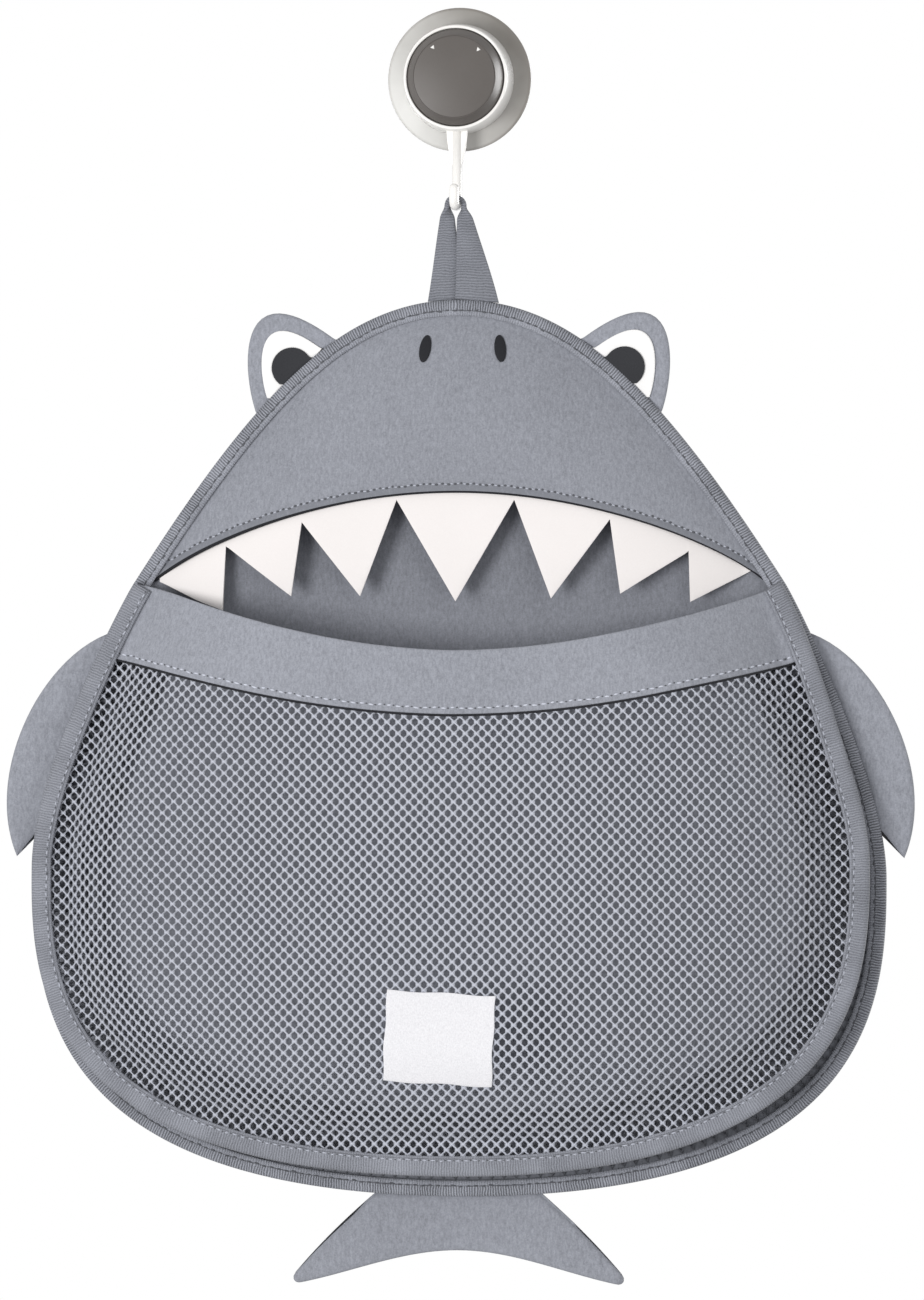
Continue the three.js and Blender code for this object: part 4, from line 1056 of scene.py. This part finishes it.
FIN_TOP = BODY_TOP - 143.7 * MM
FIN_BOTTOM = BODY_TOP - 229.5 * MM
FIN_POINT = np.array([9.3, -10.5]) * MM
FIN_SHOULDER = np.array([30.2, -11.5]) * MM
FIN_BELLY = np.array([14.9, 35.0]) * MM
fin_seam = edge_points(FIN_TOP, FIN_BOTTOM)
fin_tip = fin_seam[-1] + FIN_POINT
fin_edge = bezier(fin_seam[0], fin_seam[0] + FIN_SHOULDER, fin_tip + FIN_BELLY, fin_tip, steps=60)
for side, name in SIDES:
    fin_bm = flap_grid(fin_seam, fin_edge, EDGE_MIDDLE, FLAP_THICK, FLAP_SOFT, side)
    fin = piece(f"{name}_fin_cloth", fin_bm, "grey_jersey", None, [f"{name}_fin"])
    bend_from_seam(fin)

# Eyes: a padded base with two felt inlays, all cut off at the bag's edge
EYE_HIGH = BODY_TOP - 17.0 * MM
EYE_LOW = BODY_TOP - 48.4 * MM
EYE_Z = BODY_TOP - 29.2 * MM
EYE_OUT = 3.0 * MM
EYE_BROW = np.array([25.4, 45.0]) * MM
EYE_CHEEK = np.array([22.1, -1.4]) * MM
EYE_THICK = 2.5 * MM
EYE_SOFT = 1.6 * MM
INLAY_THICK = 0.8 * MM
INLAY_SOFT = 0.35 * MM
WHITE_LIFT = 1.75 * MM
WHITE_SHARE = 0.68
PUPIL_LIFT = 2.65 * MM
PUPIL_RADIUS = 8.8 * MM
PUPIL_START = 0.9
eye_centre = np.array([edge_x(EYE_Z) + EYE_OUT, EYE_Z])
eye_seam = edge_points(EYE_HIGH, EYE_LOW)
eye_edge = bezier(eye_seam[0], eye_centre + EYE_BROW, eye_centre + EYE_CHEEK, eye_seam[-1], steps=80)
turn = np.linspace(PUPIL_START, PUPIL_START - 2, 161) * math.pi
pupil_ring = eye_centre + PUPIL_RADIUS * pairs(np.cos(turn), np.sin(turn))


def outside(points):
    """The seam between the ends of the run of points that lies outside the bag's edge, and that run."""
    run = points[points[:, 0] > edge_x(points[:, 1]) + SEAM_GAP]
    return edge_points(run[0, 1], run[-1, 1]), run


white_outline = outside((eye_edge - eye_centre) * WHITE_SHARE + eye_centre)
pupil_outline = outside(pupil_ring)
EYE_BASE = (EYE_THICK, EYE_SOFT, FLAP_FILL)
INLAY = (INLAY_THICK, INLAY_SOFT, FELT_FILL)
# Piece, node, look, slot, outline, lift, then thickness, softness and fill
EYE_LAYERS = [
    ("eye_cloth", "eye_base", "grey_jersey", "grey_cloth", (eye_seam, eye_edge), 0, EYE_BASE),
    ("eye_felt", "eye_white", "white_felt", "white_felt", white_outline, WHITE_LIFT, INLAY),
    ("pupil_felt", "eye_pupil", "black_felt", "black_thread", pupil_outline, PUPIL_LIFT, INLAY),
]
for side, name in SIDES:
    for label, node, look, slot, outline, lift, (thick, soft, fill) in EYE_LAYERS:
        layer_bm = flap_grid(*outline, EDGE_MIDDLE + lift, thick, soft, side)
        layer = piece(f"{name}_{label}", layer_bm, look, None, [f"{node}_{name}"])
        bend_from_seam(layer)

# Tail
TAIL_ROOT = 35.5 * MM
TAIL_HALF = 75.2 * MM
TAIL_TIP_Z = BODY_BOTTOM - 38.7 * MM
TAIL_NOTCH_Z = BODY_BOTTOM - 23.2 * MM
TAIL_BULGE = 0.6
TAIL_LOBE = 0.66
TAIL_LOBE_RISE = 0.25
TAIL_NOTCH_FLAT = 0.35
TAIL_BOW = 4
TAIL_GRID = (70, 36)
TIP_ROUND = 2.3 * MM
TIP_SIDE_STEPS = 8
TIP_LOW_STEPS = 5
low_side = outer_side[int(np.argmax(outer_side[:, 0])):]


def tail_root(x):
    return pairs(x, height_on(low_side, np.abs(x)))


root_corner = tail_root(np.array([TAIL_ROOT]))[0]
tail_tip = np.array([TAIL_HALF, TAIL_TIP_Z])
side_bend = np.array([TAIL_ROOT + TAIL_BULGE * (TAIL_HALF - TAIL_ROOT), (root_corner[1] + TAIL_TIP_Z) / 2])
tail_side = bezier(
    root_corner,
    root_corner + (side_bend - root_corner) * 2 / 3,
    tail_tip + (side_bend - tail_tip) * 2 / 3,
    tail_tip,
    steps=30,
)
tail_low = bezier(
    tail_tip,
    (TAIL_LOBE * TAIL_HALF, TAIL_TIP_Z + TAIL_LOBE_RISE * (TAIL_NOTCH_Z - TAIL_TIP_Z)),
    (TAIL_NOTCH_FLAT * TAIL_HALF, TAIL_NOTCH_Z),
    (0, TAIL_NOTCH_Z),
    steps=40,
)
tip_ways = unit(np.stack([tail_side[-TIP_SIDE_STEPS], tail_low[TIP_LOW_STEPS]]) - tail_tip)
tip_inward = tip_ways.sum(0) / np.linalg.norm(tip_ways.sum(0))
tip_slant = math.sqrt(1 - float(tip_ways[0] @ tip_inward) ** 2)
tip_centre = tail_tip + tip_inward * TIP_ROUND / tip_slant


def round_tips(spots):
    """Points beyond the round of a tail tip come back onto it."""
    flip = np.where(spots[:, :1] < 0, [-1.0, 1.0], [1.0, 1.0])
    off = spots * flip - tip_centre
    far = np.maximum(np.linalg.norm(off, axis=1), 1e-9)
    beyond = (far > TIP_ROUND) & (-(off @ tip_inward) > far * tip_slant)
    off = off * np.where(beyond, TIP_ROUND / far, 1.0)[:, None]
    return (tip_centre + off) * flip


tail_border = round_tips(spaced(both_sides(np.concatenate([tail_side, tail_low[1:]])), steps=480))
tail_free = both_sides(tail_low)


def tail_place(u, v):
    across = np.sin((u - 0.5) * math.pi)
    down = there_and_back(v)
    start = tail_root(across * TAIL_ROOT) + [0, SEAM_TUCK]
    end = pick(tail_free, (1 - across) / 2)
    bow = pick(tail_side, down) - (root_corner + (tail_tip - root_corner) * down[:, None])
    bow = bow * pairs(np.sign(across), np.ones_like(across)) * (np.abs(across) ** TAIL_BOW)[:, None]
    spot = round_tips(start + (end - start) * down[:, None] + bow)
    return on_bag(spot[:, 0], EDGE_MIDDLE + cushion(spot, v, tail_border, FLAP_THICK, FLAP_SOFT), spot[:, 1])


tail_bm = closed(cloth_grid(*TAIL_GRID, tail_place))
tail = piece("tail_cloth", tail_bm, "head_jersey", None, ["tail_fin"])
bend_from_seam(tail)

# Nostrils: satin-stitched ovals on the head
NOSTRIL_SIZE = Vector((5.0, 1.2, 12.0)) * MM
NOSTRIL_LEAN = math.radians(8)
NOSTRIL_X = 16.2 * MM
NOSTRIL_SHIFT = 2.7 * MM
NOSTRIL_Z = BODY_TOP - 21.3 * MM
NOSTRIL_LIFT = 0.45 * MM
for side, name in SIDES:
    nostril = bmesh.new()
    bmesh.ops.create_uvsphere(nostril, u_segments=28, v_segments=14, radius=0.5)
    bmesh.ops.scale(nostril, vec=NOSTRIL_SIZE, verts=nostril.verts)
    bmesh.ops.rotate(nostril, matrix=Matrix.Rotation(-side * NOSTRIL_LEAN, 3, "Y"), verts=nostril.verts)
    spots = spots_of(nostril.verts) + [side * NOSTRIL_X + NOSTRIL_SHIFT, 0, NOSTRIL_Z]
    spots[:, 1] -= head_front(spots[:, 0], spots[:, 2]) + NOSTRIL_LIFT
    move_to(nostril, spots)
    piece(f"{name}_nostril_thread", nostril, "black_thread", "bag", [f"nostril_{name}"])

# Loop: two legs of tape that turn edge-on and pass over the hook
LOOP_ARCH = 3.5 * MM
LOOP_BASE = BODY_TOP + 0.2 * MM
LOOP_BUNCH = 5.0 * MM
LOOP_BUNCH_THICK = 2.3 * MM
LOOP_THICK = 1.6 * MM
LEG_SHARE = 0.44
LEG_TURN = 0.83
LEG_SINK = 4
RIGHT_LEG = (8.2 * MM, 19.0 * MM, 1.6 * MM)
LEFT_LEG = (-5.4 * MM, 16.0 * MM, -1.3 * MM)
SECTION_POINTS = 16
LOOP_STATIONS = 90
LOOP_LENGTH = 2 * (BAR_Z - LOOP_BASE) + math.pi * LOOP_ARCH


def loop_frame(share):
    """Centre, width way, thickness way, width, thickness and sinking share of the loop's section."""
    if LEG_SHARE <= share <= 1 - LEG_SHARE:
        bend = math.pi * (share - LEG_SHARE) / (1 - 2 * LEG_SHARE)
        radial = np.array([math.cos(bend), 0, math.sin(bend)])
        centre = np.array([0, -THROAT_DEPTH, BAR_Z]) + radial * LOOP_ARCH
        return centre, np.array([0, -1, 0]), radial, LOOP_BUNCH, LOOP_BUNCH_THICK, 0
    side = 1 if share < 0.5 else -1
    base_x, base_width, lift = RIGHT_LEG if side > 0 else LEFT_LEG
    t = min(share, 1 - share) / LEG_SHARE
    turned_by = smooth_step((t - LEG_TURN) / (1 - LEG_TURN))
    bend = turned_by * math.pi / 2
    depth = EDGE_MIDDLE + (THROAT_DEPTH - EDGE_MIDDLE) * smooth_step(t) + lift * (1 - turned_by)
    x = base_x + (side * LOOP_ARCH - base_x) * t
    centre = np.array([x, -depth, LOOP_BASE + (BAR_Z - LOOP_BASE) * t])
    across = np.array([side * math.cos(bend), -math.sin(bend), 0])
    through = np.array([side * math.sin(bend), math.cos(bend), 0])
    width = base_width + (LOOP_BUNCH - base_width) * t
    thick = LOOP_THICK + (LOOP_BUNCH_THICK - LOOP_THICK) * t
    return centre, across, through, width, thick, (1 - t) ** LEG_SINK


def loop_place(u, v):
    """The loop's rounded sections, with the ends of its legs sunk to the bag's edge."""
    spots = []
    for share, angle in zip(u, 2 * math.pi * v):
        centre, across, through, width, thick, sink = loop_frame(share)
        c, s = math.cos(angle), math.sin(angle)
        sideways = math.copysign(width / 2 - thick / 2, c) + thick / 2 * c
        spot = centre + across * sideways + through * thick / 2 * s
        spot[2] -= sink * (BODY_TOP - height_on(head_side, abs(spot[0])))
        spots.append(spot)
    return np.array(spots)


section_turn = np.linspace(0, 2 * math.pi, SECTION_POINTS + 1)
section_x = np.copysign(LOOP_BUNCH, np.cos(section_turn)) + LOOP_THICK / 2 * np.cos(section_turn)
loop_girth = lengths(pairs(section_x, LOOP_THICK / 2 * np.sin(section_turn)))
loop_bm = closed(cloth_grid(LOOP_STATIONS, SECTION_POINTS, loop_place, LOOP_LENGTH, loop_girth))
loop = piece("loop_tape", loop_bm, "loop_tape", None, ["hanging_loop"])
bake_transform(loop)
face_area["loop_tape"] / 2

# Label with slightly wavy edges
LABEL_SIZE = (46.5 * MM, 38.7 * MM)
LABEL_TURN = -math.radians(3)
LABEL_X = -3.0 * MM
LABEL_Z = -POCKET_DROP + 58.0 * MM
LABEL_DEPTH = LAYER_MIDDLE + NET_THICK / 2 + 1.0 * MM
LABEL_THICK = 0.6 * MM
LABEL_BEVEL = 0.2 * MM
LABEL_GRID = (40, 34)
SIDE_WAVE = 0.25 * MM
SIDE_WAVE_STEP = 3.1 * MM
END_WAVE = 0.3 * MM
END_WAVE_STEP = 4.3 * MM


def label_place(u, v):
    x = (u - 0.5) * LABEL_SIZE[0]
    z = (v - 0.5) * LABEL_SIZE[1]
    x = x + SIDE_WAVE * np.sin(z / SIDE_WAVE_STEP) * np.abs(2 * u - 1)
    z = z + END_WAVE * np.sin(x / END_WAVE_STEP + 1) * np.abs(2 * v - 1)
    c, s = math.cos(LABEL_TURN), math.sin(LABEL_TURN)
    turned_x = LABEL_X + c * x - s * z
    turned_z = LABEL_Z + s * x + c * z
    return on_pocket(turned_x, LABEL_DEPTH + pocket_puff(turned_x, turned_z), turned_z)


label_bm = cloth_grid(*LABEL_GRID, label_place)
label = piece("label_weave", label_bm, "white_weave", "pocket", ["label"])
thicken(label, LABEL_THICK, bevel=LABEL_BEVEL)

# Suction hook, turned about the cup's axis
cup_low, cup_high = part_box("suction_cup")
dial_low, dial_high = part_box("twist_dial")
_, cap_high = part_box("dial_cap")
RUN = 0.4 * MM
GAP = 0.3 * MM
CUP_RADIUS = cup_high.x
CUP_EDGE = 1.2 * MM
CUP_CONE = 5.0 * MM
CUP_HOLLOW = 3.2 * MM
SEAL_WIDE = 6.0 * MM
CORE_RADIUS = 9.5 * MM
CORE_FRONT = -cup_low.y
CORE_LIP = CORE_FRONT - 1.9 * MM
SOCKET_RADIUS = 7.3 * MM
SOCKET_BACK = 5.0 * MM
STEM_HOLE = 3.9 * MM
DIAL_RADIUS = dial_high.x
DIAL_BACK = -dial_high.y
DIAL_FLOOR = DIAL_BACK + 2 * MM
DIAL_HOLLOW = 13.0 * MM
DIAL_BORE = DIAL_RADIUS + RUN
FACE_FRONT = -dial_low.y
FACE_RADIUS = cap_high.x
FACE_RIM = FACE_RADIUS + 0.6 * MM
FACE_EDGE = FACE_RADIUS + GAP - 0.02 * MM
CAP_BACK = -cap_high.y
CAP_SEAT = CAP_BACK - GAP
RIM_FRONT = FACE_FRONT - 5.0 * MM
RIM_RADIUS = 22.4 * MM
WEB_BACK = CORE_FRONT + RUN
WEB_FRONT = DIAL_BACK - RUN
SKIRT_IN = 20.85 * MM
SKIRT_BACK = CUP_EDGE + CUP_CONE * (CUP_RADIUS - SKIRT_IN) / (CUP_RADIUS - CORE_RADIUS) + GAP
HOUSING_RADIUS = 23.85 * MM
CUP_BEVEL = 0.4 * MM
RING_BEVEL = 0.45 * MM
DIAL_BEVEL = 0.25 * MM
FACE_BEVEL = 0.12 * MM
TURNED_STEPS = 96


def turned(profile):
    """Spins (radius, depth) points about the cup's axis."""
    bm = bmesh.new()
    verts = [bm.verts.new((radius, -depth, 0)) for radius, depth in profile]
    edges = [bm.edges.new(pair) for pair in zip(verts, verts[1:])]
    bmesh.ops.spin(
        bm, geom=verts + edges, axis=(0, 1, 0), cent=(0, 0, 0),
        angle=2 * math.pi, steps=TURNED_STEPS, use_merge=True,
    )
    bmesh.ops.remove_doubles(bm, verts=bm.verts, dist=SAME_SPOT)
    return face_out(bm)


def turned_piece(name, profile, look, body, node, bevel):
    made = piece(name, turned(profile), look, body, [node])
    round_edges(made, bevel, segments=3, angle=30.0)
    return made


cup_profile = [
    (0, CUP_HOLLOW), (SOCKET_RADIUS, CUP_HOLLOW), (CUP_RADIUS - SEAL_WIDE, 0), (CUP_RADIUS, 0),
    (CUP_RADIUS, CUP_EDGE), (CORE_RADIUS, CUP_EDGE + CUP_CONE), (CORE_RADIUS, CORE_FRONT),
    (STEM_HOLE, CORE_FRONT), (STEM_HOLE, CORE_LIP), (SOCKET_RADIUS, CORE_LIP),
    (SOCKET_RADIUS, SOCKET_BACK), (0, SOCKET_BACK),
]
ring_profile = [
    (STEM_HOLE, WEB_BACK), (SKIRT_IN, WEB_BACK), (SKIRT_IN, SKIRT_BACK), (HOUSING_RADIUS, SKIRT_BACK),
    (RIM_RADIUS, RIM_FRONT), (DIAL_BORE, RIM_FRONT), (DIAL_BORE, WEB_FRONT), (STEM_HOLE, WEB_FRONT),
    (STEM_HOLE, WEB_BACK),
]
dial_profile = [
    (STEM_HOLE, DIAL_BACK), (DIAL_RADIUS, DIAL_BACK), (DIAL_RADIUS, RIM_FRONT), (FACE_RIM, FACE_FRONT),
    (FACE_RADIUS + GAP, FACE_FRONT), (FACE_RADIUS + GAP, CAP_SEAT), (DIAL_HOLLOW, CAP_SEAT),
    (DIAL_HOLLOW, DIAL_FLOOR), (STEM_HOLE, DIAL_FLOOR), (STEM_HOLE, DIAL_BACK),
]
cap_profile = [(0, CAP_BACK), (FACE_RADIUS, CAP_BACK), (FACE_EDGE, FACE_FRONT), (0, FACE_FRONT)]
cup = turned_piece("cup_rubber", cup_profile, "clear_rubber", None, "suction_cup", CUP_BEVEL)
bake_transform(cup)
turned_piece(
    "hook_ring", ring_profile, "white_plastic", "wall_hook", "hook_housing", RING_BEVEL,
)
turned_piece(
    "dial_shell", dial_profile, "dark_plastic", "lock_dial", "twist_dial", DIAL_BEVEL,
)
turned_piece("dial_face", cap_profile, "dark_plastic", "lock_dial", "dial_cap", FACE_BEVEL)

# Hook arm: round bar in a J with a web to the ring
BAR_RADIUS = 2.15 * MM
BAR_SIDES = 24
ARM_DEPTH = 11.0 * MM
ARM_TOP = -DIAL_BORE - 1 * MM
HOOK_BEND = 3.6 * MM
TIP_DEPTH = 2 * THROAT_DEPTH - ARM_DEPTH
TIP_Z = BAR_Z + 7.0 * MM
TIP_START = 0.3
WEB_THICK = 2.4 * MM
WEB_BEVEL = 0.4 * MM
WEB_GRID = (16, 6)
WEB_CURVE = np.array([(4.65, 0), (4.2, -7.0), (3.0, -14.0), (1.1, -17.0)]) * MM
corner = np.linspace(0, math.pi / 2, 12)
bend_near = HOOK_BEND * (1 - np.cos(corner))
bend_far = HOOK_BEND * (1 - np.sin(corner))
tip_turn = np.linspace(TIP_START, 1, 5) * math.pi / 2
hook_line = np.concatenate([
    [(ARM_DEPTH, ARM_TOP)],
    pairs(ARM_DEPTH + bend_near, BAR_Z + bend_far),
    pairs(TIP_DEPTH - bend_far, BAR_Z + bend_near),
    [(TIP_DEPTH, TIP_Z)],
    pairs(np.full_like(tip_turn, TIP_DEPTH), TIP_Z + BAR_RADIUS * np.sin(tip_turn)),
])
hook_way = unit(np.gradient(hook_line, axis=0))
hook_radius = BAR_RADIUS * np.concatenate([np.ones(len(hook_line) - len(tip_turn)), np.cos(tip_turn)])


def arm_place(u, v):
    i = steps_at(u, len(hook_line) - 1)
    angle = 2 * math.pi * v
    depth = hook_line[i, 0] + hook_way[i, 1] * hook_radius[i] * np.sin(angle)
    z = hook_line[i, 1] - hook_way[i, 0] * hook_radius[i] * np.sin(angle)
    return on_bag(hook_radius[i] * np.cos(angle), depth, z)


arm_bm = closed(cloth_grid(len(hook_line) - 1, BAR_SIDES, arm_place))
piece("hook_body", arm_bm, "white_plastic", "wall_hook")
web_half = bezier(*WEB_CURVE, steps=WEB_GRID[0])


def web_place(u, v):
    half, drop = pick_even(web_half, u).T
    return on_bag(half * (2 * v - 1), np.full_like(u, ARM_DEPTH), drop + ARM_TOP)


web = piece("hook_web", cloth_grid(*WEB_GRID, web_place), "white_plastic", "wall_hook")
thicken(web, WEB_THICK, 0.0, WEB_BEVEL)

# Two arrow marks on the dial
ARROW_RADIUS = 1.1 * MM
ARROW_LEAN = math.radians(100)
ARROW_REACH = FACE_RADIUS - 1.6 * MM
ARROW_THICK = 0.05 * MM
ARROW_AT = math.radians(39)
ARROW_SHIFT = math.radians(3)
for side, name in SIDES:
    mark_bm = bmesh.new()
    bmesh.ops.create_circle(mark_bm, cap_ends=True, segments=3, radius=ARROW_RADIUS)
    bmesh.ops.rotate(mark_bm, matrix=Matrix.Rotation(math.pi / 2, 3, "X"), verts=mark_bm.verts)
    bmesh.ops.rotate(mark_bm, matrix=Matrix.Rotation(side * ARROW_LEAN, 3, "Y"), verts=mark_bm.verts)
    at = side * ARROW_AT + ARROW_SHIFT
    spot = (ARROW_REACH * math.sin(at), -FACE_FRONT - ARROW_THICK, ARROW_REACH * math.cos(at))
    bmesh.ops.translate(mark_bm, verts=mark_bm.verts, vec=spot)
    mark = piece(f"dial_arrow_{name}", mark_bm, "white_plastic", "lock_dial")
    thicken(mark, ARROW_THICK, 0.0)

for name, look in (("cup_stud", "inner_plastic"), ("cross_pin", "pin_steel")):
    nodes[name].data.materials.clear()
    nodes[name].data.materials.append(looks[look])

# Stitches with painted shade in their needle holes, and dark cords of painted shade
FORWARDS = Vector((0, -1, 0))
UNEVEN = ((0.25, 2.4), (0.15, 5.3))
STITCH_TURN = 0.5
STITCH_STRETCH = 0.6
STITCH_FLAT = 0.7
CORD_SIDES = 8


def stitch_row(name, spots, look, body, pitch, length, width, start):
    """Short uneven threads along a line of points in space. Dark rows set between the stitches are painted
    shade in the needle holes.
    """
    run = lengths(spots)
    at = np.arange(pitch * start, run[-1], pitch)
    uneven = sum(size * np.sin(np.arange(len(at)) * step) for size, step in UNEVEN)
    bm = bmesh.new()
    for here, ahead, off in zip(along(spots, run, at), along(spots, run, at + pitch / 4), uneven):
        way = Vector(ahead - here).normalized()
        front = (FORWARDS - way * FORWARDS.dot(way)).normalized()
        way = (way + way.cross(front) * off * STITCH_TURN).normalized()
        across = way.cross(front)
        axes = (way * length * (1 + off * STITCH_STRETCH), across * width, front * width * STITCH_FLAT)
        turn_to = Matrix(axes).transposed().to_4x4()
        turn_to.translation = Vector(here) + across * off * width
        bmesh.ops.create_uvsphere(bm, u_segments=6, v_segments=4, radius=0.5, matrix=turn_to)
    piece(name, bm, look, body)


def shade_cord(name, spots, radius, body):
    """A thin round black cord of painted shade along a line of points in space, with a radius at each point.
    """
    way = unit(np.gradient(spots, axis=0))
    across = unit(np.cross(way, FORWARDS))
    front = np.cross(across, way)

    def put(u, v):
        i = steps_at(u, len(spots) - 1)
        angle = 2 * math.pi * v[:, None]
        return spots[i] + radius[i][:, None] * (across[i] * np.cos(angle) + front[i] * np.sin(angle))

    piece(name, closed(cloth_grid(len(spots) - 1, CORD_SIDES, put)), "black_thread", body)


EDGE_ROW_IN = EDGE_TAPE - 2.3 * MM
POCKET_ROW_IN = POCKET_TAPE - 1.9 * MM
EDGE_ROW_LIFT = 0.3 * MM
POCKET_ROW_LIFT = 0.2 * MM
ROW_LIFT = 0.05 * MM
LIP_ROW_END = 2.0 * MM
edge_x_row, edge_z_row = ring(inset(body_loop, EDGE_ROW_IN, True)).T
edge_row = on_bag(edge_x_row, np.full_like(edge_x_row, EDGE_FRONT + EDGE_ROW_LIFT), edge_z_row)
pocket_x, pocket_z = inset(pocket_line, POCKET_ROW_IN).T
pocket_row = on_pocket(pocket_x, np.full_like(pocket_x, POCKET_TAPE_DEPTH + POCKET_ROW_LIFT), pocket_z)
lip_x = np.linspace(-LIP_X + LIP_ROW_END, LIP_X - LIP_ROW_END, 200)
lip_sewn = lip_z(lip_x) + LIP_STITCH
lip_row = on_bag(lip_x, head_front(lip_x, lip_sewn) + ROW_LIFT, lip_sewn)
collar_x, collar_z = (collar_low[2:-2] + [0, COLLAR_STITCH]).T
collar_row = on_pocket(collar_x, collar_front(collar_x, collar_z) + ROW_LIFT, collar_z)
# Piece, line, look, body, then pitch, length and width in millimetres, and start as a share of the pitch
# The dark rows between the stitches are painted shade in the needle holes.
for name, spots, look, body, pitch, length, width, start in [
    ("edge_stitches", edge_row, "dark_thread", "bag", 3.3, 2.1, 0.8, 0.5),
    ("pocket_stitches", pocket_row, "dull_thread", "pocket", 3.6, 2.2, 0.65, 0.5),
    ("pocket_holes", pocket_row, "dark_thread", "pocket", 3.6, 1.1, 0.6, 1.0),
    ("lip_stitches", lip_row, "dull_thread", "bag", 2.7, 1.6, 0.65, 0.5),
    ("lip_holes", lip_row, "dark_thread", "bag", 2.7, 1.4, 1.05, 1.0),
    ("collar_stitches", collar_row, "grey_thread", "pocket", 3.9, 2.5, 0.85, 0.5),
    ("collar_holes", collar_row, "dark_thread", "pocket", 3.9, 1.3, 0.85, 1.0),
]:
    stitch_row(name, spots, look, body, pitch * MM, length * MM, width * MM, start)

# The lip's black cord is partly the cloth's real dark edge and partly painted shade under the lip.
LIP_CORD = 0.75 * MM
LIP_CORD_THIN = 0.45 * MM
LIP_CORD_FADE = (-0.75 * LIP_X, -0.3 * LIP_X)
LIP_CORD_DEPTH = HEAD_DEPTH + 0.9 * MM
COLLAR_CORD = 0.5 * MM
COLLAR_CORD_DEPTH = LAYER_MIDDLE + 0.75 * MM
lip_radius = np.interp(lip_x, LIP_CORD_FADE, [LIP_CORD, LIP_CORD_THIN])
cord_z = lip_z(lip_x) - lip_radius
shade_cord("lip_cord", on_bag(lip_x, LIP_CORD_DEPTH + head_puff(lip_x, cord_z), cord_z), lip_radius, "bag")
# The collar's black cord is painted shade in the gap between the collar and the net.
cord_x, cord_z = (collar_low[3:-3] - [0, COLLAR_CORD]).T
cord_spots = on_pocket(cord_x, COLLAR_CORD_DEPTH + pocket_puff(cord_x, cord_z), cord_z)
shade_cord("collar_cord", cord_spots, np.full_like(cord_x, COLLAR_CORD), "pocket")

# Camera at the photograph's angle and scale
PHOTO_HIGH = 1300
PIXEL = 0.43 * MM
SENSOR = 36.0
AZIMUTH = math.radians(6.0)
DISTANCE = 4.0
FAR_END = 50.0
TARGET = Vector((2 * MM, -10 * MM, -245.8 * MM))


def aim(made, place, target):
    made.location = place
    made.rotation_euler = (target - made.location).to_track_quat("-Z", "Y").to_euler()


camera_data = bpy.data.cameras.new("camera")
camera_data.sensor_width = SENSOR
camera_data.lens = SENSOR * DISTANCE / (PHOTO_HIGH * PIXEL)
camera_data.clip_end = FAR_END
camera = add_object("camera", camera_data)
aim(camera, TARGET + Vector((math.sin(AZIMUTH), -math.cos(AZIMUTH), 0)) * DISTANCE, TARGET)
scene.camera = camera

# Studio: two lamps in front, and one that shows in reflections alone
LIT_SPOT = Vector((0, 0, -0.25))
SKY_LIGHT = 0.5
FLOOR_RADIUS = 0.7
FLOOR_SPOT = (0, -0.1, BODY_BOTTOM - 0.25)
# Lamp, place, size, power
for name, place, size, power in [
    ("key", (-1.25, -2.35, -0.45), 1.1, 44),
    ("fill", (1.6, -2.4, 0.2), 1.8, 12),
    ("gloss", (2.2, 1.25, 0.05), 2.0, 150),
]:
    light = bpy.data.lights.new(name, "AREA")
    light.shape = "DISK"
    light.size = size
    light.energy = power
    lamp = add_object(name, light)
    aim(lamp, place, LIT_SPOT)
    lamp.visible_diffuse = name != "gloss"

# The background is bright where it is seen, and lights the part at half of that
world = bpy.data.worlds.new("studio")
scene.world = world
world.use_nodes = True
sky = world.node_tree
background = sky.nodes["Background"]
background.inputs["Color"].default_value = (1, 1, 1, 1)
rays = sky.nodes.new("ShaderNodeLightPath")
kinds = ("Camera", "Glossy", "Transmission")
seen, glossy, through = (Value(sky, rays.outputs[f"Is {kind} Ray"]) for kind in kinds)
seen = seen.math("MAXIMUM", glossy).math("MAXIMUM", through)
feed(sky, seen * (1 - SKY_LIGHT) + SKY_LIGHT, background.inputs["Strength"])

floor_bm = bmesh.new()
bmesh.ops.create_circle(floor_bm, cap_ends=True, segments=64, radius=FLOOR_RADIUS)
bmesh.ops.translate(floor_bm, verts=floor_bm.verts, vec=FLOOR_SPOT)
floor = add_object("floor", mesh_of("floor", floor_bm))
floor.data.materials.append(looks["floor_pale"])

scene.view_settings.view_transform = "Standard"
